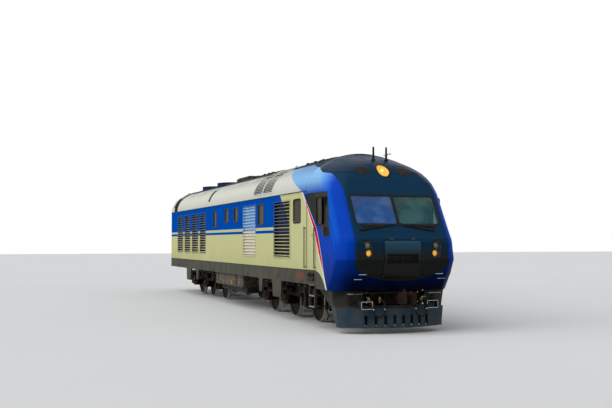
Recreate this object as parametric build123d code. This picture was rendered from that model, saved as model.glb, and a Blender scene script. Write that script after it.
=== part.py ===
from build123d import *
import math
import os

os.makedirs("parts", exist_ok=True)

# Diesel-electric passenger locomotive unit with one cab, on two three-axle bogies.
# Frame: +Z up, front toward -Y, origin under the middle between the coupler faces.
# A station is a distance forward of the rear end wall, a height is above the rail's top.

# Overall sizes
body_width = 3304
nose_station = 21270
cab_joint_station = 18760
rear_coupler_reach = 450
front_coupler_station = 21550
eaves_height = 3640
roof_rise = 1068
floor_height = 1520
skirt_bottom_height = 1130
nose_bottom_height = 1044
shoulder_radius = 800
wall = 80
skirt_wall = 60

# Running gear sizes
flange_height = 28
tread_radius = 525
wheel_width = 140
wheel_back = 676.5
axle_radius = 90
journal_radius = 80
journal_end = 1110
axle_spacing = 2000
bogie_stations = {"rear": 4950, "front": 15450}
bogie_half_length = 2750
sill_inner = 1000
sill_outer = 1200
sill_bottom_height = 800
sill_top_height = 1000
pivot_radius = 120
bolster_bottom_height = 1200

# Fits and gaps
running_fit = 0.08
panel_gap = 6
seat_gap = 0.3
door_gap = 6
bearer_gap = 6
shaft_end_gap = 5

half_width = body_width / 2
roof_height = eaves_height + roof_rise
coupler_height = 880
middle_station = (front_coupler_station - rear_coupler_reach) / 2


def y_at(station):
    """Y of a station."""
    return middle_station - station


def z_at(height):
    """Z of a height above the rail's top."""
    return height + flange_height


def block(stations, heights, sides):
    """Box between two stations, two heights and two X values."""
    sizes = [abs(b - a) for a, b in (sides, stations, heights)]
    centre = (sum(sides) / 2, y_at(sum(stations) / 2), z_at(sum(heights) / 2))
    return Pos(*centre) * Box(*sizes)


def both(shape):
    """The shape and its mirror image on the other side of the unit."""
    return [shape, mirror(shape, Plane.YZ)]


def save(name, shapes):
    """Write one node from one shape or a list of separate solids."""
    items = shapes if isinstance(shapes, list) else [shapes]
    solids = [solid for item in items for solid in item.solids()]
    node = solids[0] if len(solids) == 1 else Compound(children=solids)
    export_step(node, os.path.join("parts", name + ".step"))


def side_prism(points, x_from, x_to):
    """Prism across X from station and height points."""
    outline = [(0, y_at(s), z_at(h)) for s, h in points]
    face = Face(Wire.make_polygon([Vector(*p) for p in outline], close=True))
    return Pos(x_from, 0, 0) * Solid.extrude(face, Vector(x_to - x_from, 0, 0))


def x_cylinder(radius, x_from, x_to, station, height):
    """Cylinder along X."""
    place = Pos((x_from + x_to) / 2, y_at(station), z_at(height)) * Rot(0, 90, 0)
    return place * Cylinder(radius, abs(x_to - x_from))


def y_cylinder(radius, station_from, station_to, x, height):
    """Cylinder along Y."""
    place = Pos(x, y_at((station_from + station_to) / 2), z_at(height)) * Rot(90, 0, 0)
    return place * Cylinder(radius, abs(station_to - station_from))


def z_cylinder(radius, x, station, height_from, height_to):
    """Upright cylinder."""
    place = Pos(x, y_at(station), z_at((height_from + height_to) / 2))
    return place * Cylinder(radius, abs(height_to - height_from))


def rod(points, radius, bend):
    """Round bar along X, station and height points with rounded bends."""
    path = FilletPolyline([(x, y_at(s), z_at(h)) for x, s, h in points], radius=bend)
    start = Plane(origin=path @ 0, z_dir=path % 0)
    return sweep(start * Circle(radius), path)


# Body cross-section: upright wall, shoulder arc, then a flatter crown arc
shoulder_x = half_width - shoulder_radius
crown_radius = (shoulder_x**2 + roof_rise**2 - shoulder_radius**2) / (2 * (roof_rise - shoulder_radius))
crown_centre = roof_height - crown_radius
tangent_angle = math.atan2(eaves_height - crown_centre, shoulder_x)


def section_half_width(height, inset=0):
    """Half the body's width at a height, with the whole section moved in by inset."""
    if height <= eaves_height:
        return half_width - inset
    crown = crown_radius - inset
    shoulder = shoulder_radius - inset
    if height >= crown_centre + crown * math.sin(tangent_angle):
        return math.sqrt(max(0, crown**2 - (height - crown_centre) ** 2))
    return shoulder_x + math.sqrt(shoulder**2 - (height - eaves_height) ** 2)


def arch_point(angle, inset=0):
    """X and height on the roof's outline, the angle measured up from level."""
    if angle < tangent_angle:
        reach = shoulder_radius - inset
        return shoulder_x + reach * math.cos(angle), eaves_height + reach * math.sin(angle)
    reach = crown_radius - inset
    return reach * math.cos(angle), crown_centre + reach * math.sin(angle)


def section_face(station, inset, bottom):
    """Upright face of the body's section, down to a bottom height."""
    side = half_width - inset
    mid = tangent_angle / 2
    right = [
        arch_point(0, inset),
        arch_point(mid, inset),
        arch_point(tangent_angle - 1e-9, inset),
        arch_point(math.pi / 2, inset),
    ]

    def place(x, h):
        return Vector(x, y_at(station), z_at(h))

    edges = [
        Edge.make_three_point_arc(place(*right[0]), place(*right[1]), place(*right[2])),
        Edge.make_three_point_arc(
            place(*right[2]), place(*right[3]), place(-right[2][0], right[2][1])
        ),
        Edge.make_three_point_arc(
            place(-right[2][0], right[2][1]),
            place(-right[1][0], right[1][1]),
            place(-right[0][0], right[0][1]),
        ),
        Edge.make_line(place(-side, bottom), place(side, bottom)),
    ]
    if bottom < eaves_height:
        edges.insert(0, Edge.make_line(place(side, bottom), place(*right[0])))
        edges.insert(4, Edge.make_line(place(-side, eaves_height), place(-side, bottom)))
    return Face(Wire(edges))


def section_solid(station_from, station_to, inset, bottom):
    """The body's section drawn out between two stations."""
    face = section_face(station_from, inset, bottom)
    return Solid.extrude(face, Vector(0, station_from - station_to, 0))


# Nose: level outlines, columns height, setback behind the nose's tip, corner's reach across
# the front, corner's reach back along the side
nose_rows = [
    (nose_bottom_height, 370, 520, 840),
    (floor_height - 48, 120, 500, 680),
    (floor_height + 302, 0, 480, 560),
    (floor_height + 732, 15, 470, 760),
    (floor_height + 832, 45, 460, 800),
    (floor_height + 932, 105, 460, 840),
    (eaves_height - 108, 726, 480, 970),
    (eaves_height, 796, 510, 1000),
    (roof_height - 886, 905, 580, 1040),
    (roof_height - 736, 1010, 680, 1060),
    (roof_height - 596, 1120, 780, 1080),
    (roof_height - 496, 1235, 880, 1060),
    (roof_height - 411, 1365, 930, 1000),
    (roof_height - 336, 1520, 930, 900),
    (roof_height - 271, 1690, 860, 780),
    (roof_height - 206, 1900, 740, 520),
    (roof_height - 136, 2160, 500, 280),
    (roof_height - 70, 2350, 300, 110),
    (roof_height - 26, 2450, 180, 40),
]
screen_low = nose_rows[5]
screen_high = nose_rows[6]


def nose_outline(height, setback, across, back, inset):
    """Level outline of the nose, its corners quarter ellipses, moved in by inset."""
    side = section_half_width(height, inset)
    front = y_at(nose_station) + setback + inset
    joint = y_at(cab_joint_station)
    reach = min(across, side) - inset / 2
    depth = back - inset / 2
    z = z_at(height)
    right = []
    for step in range(5):
        turn = math.pi / 8 * step
        x = side - reach * (1 - math.cos(turn))
        right.append(Vector(x, front + depth * (1 - math.sin(turn)), z))
    left = [Vector(-point.X, point.Y, z) for point in reversed(right)]
    edges = [
        Edge.make_line(Vector(side, joint, z), right[0]),
        Edge.make_spline(right, tangents=[Vector(0, -1, 0), Vector(-1, 0, 0)]),
        Edge.make_line(right[-1], left[0]),
        Edge.make_spline(left, tangents=[Vector(-1, 0, 0), Vector(0, 1, 0)]),
        Edge.make_line(left[-1], Vector(-side, joint, z)),
        Edge.make_line(Vector(-side, joint, z), Vector(side, joint, z)),
    ]
    return Wire(edges)


def nose_solid(inset):
    """The nose as a closed body, its skin moved in by inset."""
    room = nose_station - cab_joint_station - inset / 2
    wires = [
        nose_outline(height, setback, across, back, inset)
        for height, setback, across, back in nose_rows
        if section_half_width(height, inset) > across + inset and setback + back < room
    ]
    return Solid.make_loft(wires, ruled=True)


# Windscreen plane, on the straight raked stretch of the nose
rake = math.atan2(screen_high[1] - screen_low[1], screen_high[0] - screen_low[0])
screen_top_height = eaves_height - 190
screen_bottom_height = screen_top_height - 730
screen_half_width = 1150
screen_post = 60
screen_glass = 20
screen_sink = 15
frame_width = 38
frame_proud = 8


def screen_plane(height, lift):
    """Plane on the raked stretch, Z outward, lifted off the skin by lift."""
    along = (height - screen_low[0]) * math.tan(rake)
    y = y_at(nose_station) + screen_low[1] + along
    outward = Vector(0, -math.cos(rake), math.sin(rake))
    origin = Vector(0, y, z_at(height)) + outward * lift
    return Plane(origin=origin, x_dir=(1, 0, 0), z_dir=outward)


screen_mid = (screen_bottom_height + screen_top_height) / 2
screen_rise = (screen_top_height - screen_bottom_height) / math.cos(rake)
pane_width = screen_half_width - screen_post / 2
pane_x = (screen_half_width + screen_post / 2) / 2


def screen_blocks(grow, lift_from, lift_to, corner):
    """Two rounded slabs in the windscreen's openings."""
    outline = RectangleRounded(pane_width + 2 * grow, screen_rise + 2 * grow, corner)
    slabs = []
    for side in (-1, 1):
        place = screen_plane(screen_mid, lift_from) * Pos(side * pane_x, 0, 0)
        slabs.append(extrude(place * outline, lift_to - lift_from))
    return slabs


# Cab side window and door
window_high = eaves_height - 220
window_low = window_high - 700
window_rear = cab_joint_station + 760
window_front = window_rear + 600
window_corner = 60
door_rear = cab_joint_station + 40
door_front = door_rear + 620
door_bottom = floor_height
door_top = eaves_height - 80
door_thickness = 50


def rounded_side_slab(rear, front, low, high, corner, x_from, x_to):
    """Rounded rectangle drawn out across X."""
    plane = Plane(
        origin=(x_from, y_at((rear + front) / 2), z_at((low + high) / 2)),
        x_dir=(0, 1, 0),
        z_dir=(1, 0, 0),
    )
    outline = plane * RectangleRounded(front - rear, high - low, corner)
    return extrude(outline, x_to - x_from)


# Side windows, columns rear station, length, drop of the top below the eaves, window height
small_windows = [
    (8300, 490, 210, 590),
    (10040, 520, 190, 470),
    (11310, 530, 190, 470),
    (14240, 610, 200, 630),
    (17690, 590, 200, 630),
]
# Side louvres, columns rear station, length, drop of the top below the eaves
side_louvres = [
    (1490, 1230, 180),
    (2990, 1230, 180),
    (4490, 1230, 180),
    (5990, 1080, 180),
    (12450, 1550, 150),
    (15880, 1540, 160),
]
louvre_sill = 270
slat_pitch = 100
slat_depth = 62
slat_thickness = 9
slat_tilt = 40
louvre_frame = 45
louvre_proud = 12
louvre_back = 12
pane_thickness = 12
pane_sink = 22


def window_span(row):
    """Rear and front station and lowest and highest height of a side window."""
    rear, length, drop, height = row
    return rear, rear + length, eaves_height - drop - height, eaves_height - drop


def louvre_span(row):
    """Rear and front station and lowest and highest height of a side louvre."""
    rear, length, drop = row
    return rear, rear + length, floor_height + louvre_sill, eaves_height - drop


def side_wall():
    """Left side wall with its window and louvre openings."""
    sides = (wall - half_width, -half_width)
    sheet = block((0, cab_joint_station), (floor_height, eaves_height), sides)
    for rear, front, low, high in map(window_span, small_windows):
        sheet -= rounded_side_slab(
            rear, front, low, high, window_corner, -half_width - 5, wall - half_width + 5
        )
    for rear, front, low, high in map(louvre_span, side_louvres):
        sheet -= block((rear, front), (low, high), (wall - half_width + 5, -half_width - 5))
    return sheet


def louvre(rear, front, low, high):
    """One louvre panel: back sheet, raised frame and tilted slats in one piece."""
    inner = wall - half_width
    outer = -half_width
    panel = block((rear, front), (low, high), (outer - louvre_proud, inner))
    cavity = block(
        (rear + louvre_frame, front - louvre_frame),
        (low + louvre_frame, high - louvre_frame),
        (outer - louvre_proud - 5, inner - louvre_back),
    )
    panel -= cavity
    count = round((high - low - 2 * louvre_frame) / slat_pitch)
    step = (high - low - 2 * louvre_frame) / count
    slat_x = outer - louvre_proud + slat_depth / 2 * math.cos(math.radians(slat_tilt)) + 8
    for index in range(count):
        height = low + louvre_frame + (index + 0.5) * step
        place = Pos(slat_x, y_at((rear + front) / 2), z_at(height)) * Rot(0, -slat_tilt, 0)
        panel += place * Box(slat_depth, front - rear - louvre_frame, slat_thickness)
    return panel


# Roof
roof_joints = [0, 7300, 13250, cab_joint_station]
fan_stations = [2850, 5550]
fan_ring_outer = 790
fan_ring_inner = 750
fan_ring_top = roof_height + 7
fan_ring_bottom = fan_ring_top - 515
fan_tip_gap = 35
fan_radius = fan_ring_inner - fan_tip_gap
fan_hub_radius = 190
fan_hub_half = 60
fan_height = fan_ring_top - 235
fan_blades = 8
blade_root = 60
blade_pitch = 28
blade_chord = 230
fan_shaft_radius = 40
carrier_top = fan_height - fan_hub_half - 40
carrier_depth = 120
carrier_width = 140


def roof_section(station_from, station_to):
    """Arched roof between two stations."""
    outer = section_solid(station_from, station_to, 0, eaves_height)
    inner = section_solid(station_from - 10, station_to + 10, wall, eaves_height - 10)
    return outer - inner


def fan_ring(station):
    """Upright duct round a cooling fan."""
    ring = z_cylinder(fan_ring_outer, 0, station, fan_ring_bottom, fan_ring_top)
    return ring - z_cylinder(fan_ring_inner, 0, station, fan_ring_bottom - 5, fan_ring_top + 5)


def cooling_fan(station):
    """Fan hub with its shaft and pitched blades."""
    fan = z_cylinder(fan_hub_radius, 0, station, fan_height - fan_hub_half, fan_height + fan_hub_half)
    fan += z_cylinder(fan_shaft_radius, 0, station, carrier_top - carrier_depth / 2, fan_height)
    reach = fan_radius - fan_hub_radius + blade_root
    for index in range(fan_blades):
        turn = Rot(0, 0, index * 360 / fan_blades)
        place = Pos(fan_hub_radius - blade_root + reach / 2, 0, 0) * Rot(blade_pitch, 0, 0)
        blade = place * Box(reach, blade_chord, 12)
        fan += Pos(0, y_at(station), z_at(fan_height)) * turn * blade
    limit = z_cylinder(fan_radius, 0, station, carrier_top - carrier_depth, fan_height + 200)
    return fan & limit


def fan_carrier(station):
    """Cross beam under a fan, with the bearing for its shaft."""
    beam = block(
        (station - carrier_width / 2, station + carrier_width / 2),
        (carrier_top - carrier_depth, carrier_top),
        (-fan_ring_outer, fan_ring_outer),
    )
    beam -= z_cylinder(
        fan_shaft_radius + running_fit,
        0,
        station,
        carrier_top - carrier_depth / 2 - shaft_end_gap,
        carrier_top + 5,
    )
    trim = z_cylinder((fan_ring_inner + fan_ring_outer) / 2, 0, station, fan_ring_bottom, fan_ring_top)
    return beam & trim


def fan_guard(station):
    """Ring and bars over a fan duct."""
    top = fan_ring_top + 24
    guard = z_cylinder(fan_ring_outer, 0, station, fan_ring_top, top)
    guard -= z_cylinder(fan_ring_outer - 60, 0, station, fan_ring_top - 5, top + 5)
    for radius in (200, 440):
        hoop = z_cylinder(radius + 12, 0, station, fan_ring_top, top)
        guard += hoop - z_cylinder(radius - 12, 0, station, fan_ring_top - 5, top + 5)
    for turn in (0, 45, 90, 135):
        bar = Pos(0, y_at(station), z_at(fan_ring_top + 12)) * Rot(0, 0, turn)
        guard += bar * Box(2 * fan_ring_outer - 80, 24, 24)
    return guard


band_rear = 13650
band_front = 15700
band_angles = (math.radians(8), math.radians(72))
band_slats = 14
band_inset = 50


def arc_shell(station_from, station_to, angle_from, angle_to, inset_out, inset_in):
    """Piece of the left roof shell between two angles and two insets."""
    outer = section_solid(station_from, station_to, inset_out, eaves_height)
    inner = section_solid(station_from - 10, station_to + 10, inset_in, eaves_height - 10)
    shell = outer - inner
    far = 4000
    centre_x, centre_h = -200, eaves_height - 400
    wedge_points = [(centre_x, centre_h)]
    for angle in (angle_from, (angle_from + angle_to) / 2, angle_to):
        x, h = arch_point(angle)
        length = math.hypot(-x - centre_x, h - centre_h)
        wedge_points.append(
            (centre_x + (-x - centre_x) * far / length, centre_h + (h - centre_h) * far / length)
        )
    corners = [Vector(x, y_at(station_from), z_at(h)) for x, h in wedge_points]
    wedge = Solid.extrude(
        Face(Wire.make_polygon(corners, close=True)), Vector(0, station_from - station_to, 0)
    )
    return shell & wedge


def roof_band_opening():
    """Space cut from the left roof shoulder for the louvre band."""
    return arc_shell(band_rear, band_front, *band_angles, -50, wall + 50)


def roof_band():
    """Louvre band on the left roof shoulder: back sheet, frames and slats."""
    band = arc_shell(band_rear, band_front, *band_angles, band_inset, wall)
    rim = arc_shell(band_rear, band_front, *band_angles, -10, wall)
    middle = (band_rear + band_front) / 2
    gap = 50
    for rear, front in ((band_rear, middle), (middle, band_front)):
        low, high = band_angles[0] + 0.05, band_angles[1] - 0.03
        rim -= arc_shell(rear + gap, front - gap, low, high, -60, wall + 10)
    band += rim
    span = band_angles[1] - band_angles[0]
    for index in range(band_slats):
        angle = band_angles[0] + 0.05 + (span - 0.08) * (index + 0.5) / band_slats
        x, h = arch_point(angle, band_inset / 2)
        place = Pos(-x, y_at(middle), z_at(h)) * Rot(0, math.degrees(angle) - 90 + 60, 0)
        band += place * Box(10, band_front - band_rear - 60, 60)
    return band


# Bogies
side_x = (sill_inner + sill_outer) / 2
box_half_length = 170
box_inner = 890
box_outer = 1180
box_half_height = 150
spring_offset = 250
spring_radius = 78
spring_core_radius = 44
spring_seat = 18
wing_top = tread_radius - 40
wing_depth = 60
motor_radius = 260
motor_offset = 400
motor_height = 500
motor_half_width = 450
case_inner = 400
case_outer = 600
wheel_gear_radius = 280
pinion_radius = 200
axle_clearance = 10
cross_offset = 1000
cross_half = 150
cross_bottom = 780
end_beam = 100
sill_depth = sill_top_height - sill_bottom_height
end_beam_heights = (sill_bottom_height + sill_depth * 0.2, sill_top_height - sill_depth * 0.35)
beam_half_width = 250
bearer_radius = 130
socket_wall = 70
socket_rise = 60
# Half of a sill's side view, columns distance from the pivot and height
sill_profile = [
    (0, sill_top_height),
    (bogie_half_length - 450, sill_top_height),
    (bogie_half_length, end_beam_heights[1]),
    (bogie_half_length, end_beam_heights[0]),
    (bogie_half_length - 350, sill_bottom_height),
    (axle_spacing - 400, sill_bottom_height),
    (axle_spacing - 550, sill_bottom_height - 120),
    (550, sill_bottom_height - 120),
    (400, sill_bottom_height),
    (0, sill_bottom_height),
]


def bogie_frame(station):
    """Welded bogie frame with the pivot's socket, its sills deeper between the axles."""
    sills = (sill_bottom_height, sill_top_height)
    frame = block(
        (station - cross_offset, station + cross_offset), sills, (-beam_half_width, beam_half_width)
    )
    ahead = [(station + away, height) for away, height in sill_profile]
    behind = [(station - away, height) for away, height in reversed(sill_profile[1:-1])]
    for side in (-1, 1):
        x_from, x_to = sorted((side * sill_inner, side * sill_outer))
        frame += side_prism(ahead + behind, x_from, x_to)
        frame += block(
            (station + side * bogie_half_length, station + side * (bogie_half_length - end_beam)),
            end_beam_heights,
            (-sill_inner, sill_inner),
        )
        frame += block(
            (station + side * cross_offset - cross_half, station + side * cross_offset + cross_half),
            (cross_bottom, sill_top_height),
            (-sill_inner, sill_inner),
        )
    socket_top = sill_top_height + socket_rise
    frame += z_cylinder(pivot_radius + socket_wall, 0, station, sill_bottom_height, socket_top)
    frame -= z_cylinder(
        pivot_radius + running_fit, 0, station, sill_bottom_height - 5, socket_top + 5
    )
    bearer_top = bolster_bottom_height - bearer_gap
    for x in (-side_x, side_x):
        for offset in (-cross_offset / 2, cross_offset / 2):
            frame += z_cylinder(bearer_radius, x, station + offset, sill_top_height, bearer_top)
    return frame


shoe_gap = 8
shoe_depth = 46
shoe_half_angle = 17
shoe_x = (wheel_back + 46, wheel_back + wheel_width - 10)
hanger_depth = 55
hanger_x = (wheel_back + 56, wheel_back + wheel_width - 20)
hanger_heights = (tread_radius - 90, sill_bottom_height + 60)
arm_heights = (sill_bottom_height + 60, sill_bottom_height + 120)


def brake_gear(station):
    """Brake shoes before and behind every wheel, each on a hanger from the sill."""
    gear = []
    inner = tread_radius + shoe_gap
    outer = inner + shoe_depth
    slope = math.tan(math.radians(shoe_half_angle))
    for axle in (-axle_spacing, 0, axle_spacing):
        place = station + axle
        for way in (-1, 1):
            shoe = x_cylinder(outer, *shoe_x, place, tread_radius)
            shoe -= x_cylinder(inner, shoe_x[0] - 5, shoe_x[1] + 5, place, tread_radius)
            sector = [
                (place, tread_radius),
                (place + way * outer * 1.2, tread_radius + slope * outer * 1.2),
                (place + way * outer * 1.2, tread_radius - slope * outer * 1.2),
            ]
            shoe = shoe & side_prism(sector, *shoe_x)
            back = tuple(sorted((place + way * (outer - 6), place + way * (outer + hanger_depth))))
            unit = shoe + block(back, hanger_heights, hanger_x)
            unit += block(back, arm_heights, (hanger_x[0], sill_inner))
            gear += both(unit)
    return gear


def axle_boxes(station):
    """Six axle boxes with their wings and coil springs, up to the frame."""
    boxes = []
    for axle in (-axle_spacing, 0, axle_spacing):
        place = station + axle
        box = block(
            (place - box_half_length, place + box_half_length),
            (tread_radius - box_half_height, tread_radius + box_half_height),
            (box_inner, box_outer),
        )
        box += block(
            (place - spring_offset - spring_radius, place + spring_offset + spring_radius),
            (wing_top - wing_depth, wing_top),
            (side_x - spring_radius, side_x + spring_radius),
        )
        for offset in (-spring_offset, spring_offset):
            x, s = side_x, place + offset
            box += z_cylinder(spring_core_radius, x, s, wing_top, sill_bottom_height)
            box += z_cylinder(spring_radius, x, s, wing_top, wing_top + spring_seat)
            box += z_cylinder(
                spring_radius, x, s, sill_bottom_height - spring_seat, sill_bottom_height
            )
        box -= x_cylinder(
            journal_radius + running_fit, box_inner - 5, journal_end + 5, place, tread_radius
        )
        boxes += both(box)
    return boxes


def traction_motors(station):
    """Three axle-hung motors with their gear cases and noses."""
    motors = []
    for axle, way in ((-axle_spacing, 1), (0, 1), (axle_spacing, -1)):
        place = station + axle
        shaft = place + way * motor_offset
        body = x_cylinder(motor_radius, -motor_half_width, case_inner + 10, shaft, motor_height)
        case = x_cylinder(wheel_gear_radius, case_inner, case_outer, place, tread_radius)
        case += x_cylinder(pinion_radius, case_inner, case_outer, shaft, motor_height)
        case += block(
            tuple(sorted((place, shaft))),
            (motor_height - pinion_radius + 20, motor_height + pinion_radius),
            (case_inner, case_outer),
        )
        case -= x_cylinder(
            axle_radius + axle_clearance, case_inner - 10, case_outer + 10, place, tread_radius
        )
        nose = block(
            tuple(sorted((place + way * (motor_offset + 150), place + way * (cross_offset - 10)))),
            (cross_bottom - 120, cross_bottom),
            (-120, 120),
        )
        motors.append(body + case + nose)
    return motors


def wheelset(station):
    """Axle with its two flanged wheels, turned as one piece."""
    face = wheel_back + wheel_width
    # Half profile, columns X and radius, from the middle out
    profile = [
        (0, 0),
        (0, axle_radius),
        (wheel_back - 60, axle_radius),
        (wheel_back - 40, 115),
        (wheel_back - 10, 150),
        (wheel_back + 45, 165),
        (wheel_back + 62, 420),
        (wheel_back, 450),
        (wheel_back, tread_radius + flange_height - 12),
        (wheel_back + 10, tread_radius + flange_height),
        (wheel_back + 22, tread_radius + flange_height - 4),
        (wheel_back + 36, tread_radius + 3),
        (face - 8, tread_radius - 3),
        (face, tread_radius - 10),
        (face, 450),
        (wheel_back + 95, 425),
        (wheel_back + 85, 165),
        (face + 20, 150),
        (face + 20, journal_radius),
        (journal_end, journal_radius),
        (journal_end, 0),
    ]
    half = [(x, radius) for x, radius in profile]
    points = half + [(-x, radius) for x, radius in reversed(half[1:])]
    outline = Face(Wire.make_polygon([Vector(x, 0, r) for x, r in points[1:]], close=True))
    turned = revolve(outline, Axis.X, 360)
    return Pos(0, y_at(station), z_at(tread_radius)) * turned


# Underframe
floor_depth = 80
skirt_front = cab_joint_station + 700
cab_floor_front = nose_station - 710
draft_half_width = 300
draft_bottom = 700
draft_length = 1060
pocket_length = 900
centre_sill_half_width = 350
centre_sill_ends = (200, nose_station - 370)
bolster_half_length = 700
bolster_half_width = 1400
# Headstock in front of the front draft box
draft_front_station = nose_station - 510
headstock_stations = (draft_front_station - 180, draft_front_station - 130)
headstock_heights = (draft_bottom, nose_bottom_height - 30)
headstock_half = 960
shank_half = 80
shank_clear = 12
shank_length = 900


def underframe():
    """Floor, centre sill and bolsters in one weldment."""
    inner = half_width - wall
    edge = half_width - skirt_wall
    slab = (floor_height - floor_depth, floor_height)
    frame = block((wall, skirt_front), slab, (-edge, edge))
    frame += block((skirt_front, cab_floor_front), slab, (-inner, inner)) & nose_solid(wall)
    beams = (bolster_bottom_height, floor_height - floor_depth)
    frame += block(centre_sill_ends, beams, (-centre_sill_half_width, centre_sill_half_width))
    for station in bogie_stations.values():
        frame += block(
            (station - bolster_half_length, station + bolster_half_length),
            beams,
            (-bolster_half_width, bolster_half_width),
        )
    return frame


def centre_pivot(station):
    """Pivot pin that hangs from a bolster into the bogie's socket."""
    return z_cylinder(pivot_radius, 0, station, sill_bottom_height + 20, bolster_bottom_height)


def headstock():
    """Cross plate in front of the front draft box that carries the brake hoses."""
    return block(headstock_stations, headstock_heights, (-headstock_half, headstock_half))


def draft_box(outer, way):
    """Box under the centre sill with the pocket for a coupler's shank."""
    stations = tuple(sorted((outer, outer + way * draft_length)))
    sides = (-draft_half_width, draft_half_width)
    pocket = block(
        (outer - way * 5, outer + way * pocket_length),
        (coupler_height - shank_half - seat_gap, coupler_height + shank_half + shank_clear),
        (-shank_half - shank_clear, shank_half + shank_clear),
    )
    box = block(stations, (draft_bottom, bolster_bottom_height), sides)
    if way < 0:
        box += headstock()
    return box - pocket


def coupler(face_station, way):
    """Knuckle coupler: shank, head, guard arm and knuckle."""
    # Head outline, columns reach back from the face and X
    outline = [
        (shank_length - 80, -shank_half),
        (shank_length - 80, shank_half),
        (420, shank_half),
        (300, 150),
        (150, 160),
        (60, 230),
        (0, 225),
        (30, 110),
        (170, 40),
        (180, -40),
        (110, -60),
        (70, -20),
        (15, -30),
        (0, -80),
        (50, -150),
        (190, -175),
        (330, -130),
        (420, -shank_half),
    ]
    low = coupler_height - 140
    points = [
        Vector(way * x, y_at(face_station - way * back), z_at(low)) for back, x in outline
    ]
    head = Solid.extrude(Face(Wire.make_polygon(points, close=True)), Vector(0, 0, 280))
    stations = sorted((face_station - way * 420, face_station - way * shank_length))
    trim = block(stations, (low - 5, coupler_height - shank_half), (-200, 200))
    trim_top = block(stations, (coupler_height + shank_half, coupler_height + 145), (-200, 200))
    return head - trim - trim_top


# Valance and pilot, columns height, setback at the centre and at the corners, half width
pilot_rows = [
    (nose_bottom_height - seat_gap, 390, 850, 1590),
    (610, 390, 850, 1520),
    (600, 260, 750, 1520),
    (120, 210, 710, 1450),
]
pilot_back_station = cab_joint_station + 840


def pilot_outline(height, centre, corner, side, inset):
    """Level outline of the pilot, its front bowed."""
    z = z_at(height)
    back = y_at(pilot_back_station - inset * 2)
    x = side - inset
    corner_y = y_at(nose_station - corner - inset)
    centre_y = y_at(nose_station - centre - inset)
    edges = [
        Edge.make_line(Vector(x, back, z), Vector(x, corner_y, z)),
        Edge.make_three_point_arc(
            Vector(x, corner_y, z), Vector(0, centre_y, z), Vector(-x, corner_y, z)
        ),
        Edge.make_line(Vector(-x, corner_y, z), Vector(-x, back, z)),
        Edge.make_line(Vector(-x, back, z), Vector(x, back, z)),
    ]
    return Wire(edges)


pilot_slots = 8
pilot_slot_pitch = 240
pilot_slot_half = 45
pilot_slot_heights = (165, 430)
coupler_slot_half = 860
coupler_slot_bottom = 670
# Plate behind the pilot's slots
slot_plate_stations = (nose_station - 900, nose_station - 880)
slot_plate_heights = (140, 590)
# Wheel arch behind the pilot, columns station ahead of the cab joint and height
wheel_arch = [
    (240, 1200),
    (420, 1120),
    (770, 1060),
    (1100, 860),
    (1490, 590),
    (1640, 100),
    (240, 100),
]


def pilot():
    """Valance and slotted pilot plate under the nose."""
    outer = Solid.make_loft([pilot_outline(*row, 0) for row in pilot_rows], ruled=True)
    inner_rows = [
        (pilot_rows[0][0] + 30, *pilot_rows[0][1:]),
        *pilot_rows[1:-1],
        (pilot_rows[-1][0] - 30, *pilot_rows[-1][1:]),
    ]
    inner = Solid.make_loft([pilot_outline(*row, skirt_wall) for row in inner_rows], ruled=True)
    plate = outer - inner
    arch = [(cab_joint_station + ahead, height) for ahead, height in wheel_arch]
    plate -= side_prism(arch, -2000, 2000)
    front = (nose_station - 970, nose_station + 100)
    heights = (coupler_slot_bottom, nose_bottom_height + 10)
    plate -= block(front, heights, (-coupler_slot_half, coupler_slot_half))
    for index in range(pilot_slots):
        x = (index - (pilot_slots - 1) / 2) * pilot_slot_pitch
        plate -= block(front, pilot_slot_heights, (x - pilot_slot_half, x + pilot_slot_half))
    backing = block(slot_plate_stations, slot_plate_heights, (-half_width, half_width))
    return plate + (backing & outer)


# Brake hoses, hung from a pipe end and held at a rest beside it
hose_radius = 21
hose_bend = 150
hose_x = (430, 735)
hose_drop = 400
hose_grip_radius = 34


def brake_hose(seat_station, out, height, body):
    """Hose on the left that loops down in front of its seat, both ends held there."""
    way = 1 if out > seat_station else -1
    near, far = hose_x
    low = height - hose_drop
    hose = rod(
        [
            (-near, seat_station - way * 60, height),
            (-near, out, height),
            (-near, out, low),
            (-far, out, low),
            (-far, out, height),
            (-far, seat_station - way * 60, height),
        ],
        hose_radius,
        hose_bend,
    )
    for x in hose_x:
        hose += z_cylinder(hose_grip_radius, -x, out, height - 190, height - 100)
    return hose - body


# Lamps, hatch and doors in the nose and cab
lamp_height = roof_height - 566
lamp_radius = 178
lamp_tube = 13
lamp_back_setback = 1500
cluster_low = floor_height + 340
cluster_high = cluster_low + 450
cluster_corners = [(850, cluster_high), (1080, cluster_high), (1030, cluster_low), (780, cluster_low)]
cluster_depth = 160
hatch_half_width = 530
hatch_low = floor_height - 150
hatch_high = hatch_low + 950
hatch_thickness = 40
vent_half_width = 430
vent_low = hatch_low + 360
vent_high = vent_low + 240
vent_depth = 18
door_edge_radius = door_thickness / 2
hinge_pin_radius = 9
hinge_pin_length = 26
hinge_station = door_rear + door_gap + door_edge_radius
hinge_x = half_width - door_edge_radius


def front_prism(corners, setback_from, setback_to, grow=0):
    """Prism along Y from X and height corners, grown about their centre."""
    mid_x = sum(x for x, h in corners) / len(corners)
    mid_h = sum(h for x, h in corners) / len(corners)
    front = nose_station - setback_from
    points = [
        Vector(
            x + grow * math.copysign(1, x - mid_x),
            y_at(front),
            z_at(h + grow * math.copysign(1, h - mid_h)),
        )
        for x, h in corners
    ]
    face = Face(Wire.make_polygon(points, close=True))
    return Solid.extrude(face, Vector(0, setback_to - setback_from, 0))


def headlamp_bore(radius, back):
    """Cylinder along Y at the headlamp's place."""
    return y_cylinder(radius, nose_station - back, nose_station, 0, lamp_height)


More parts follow.
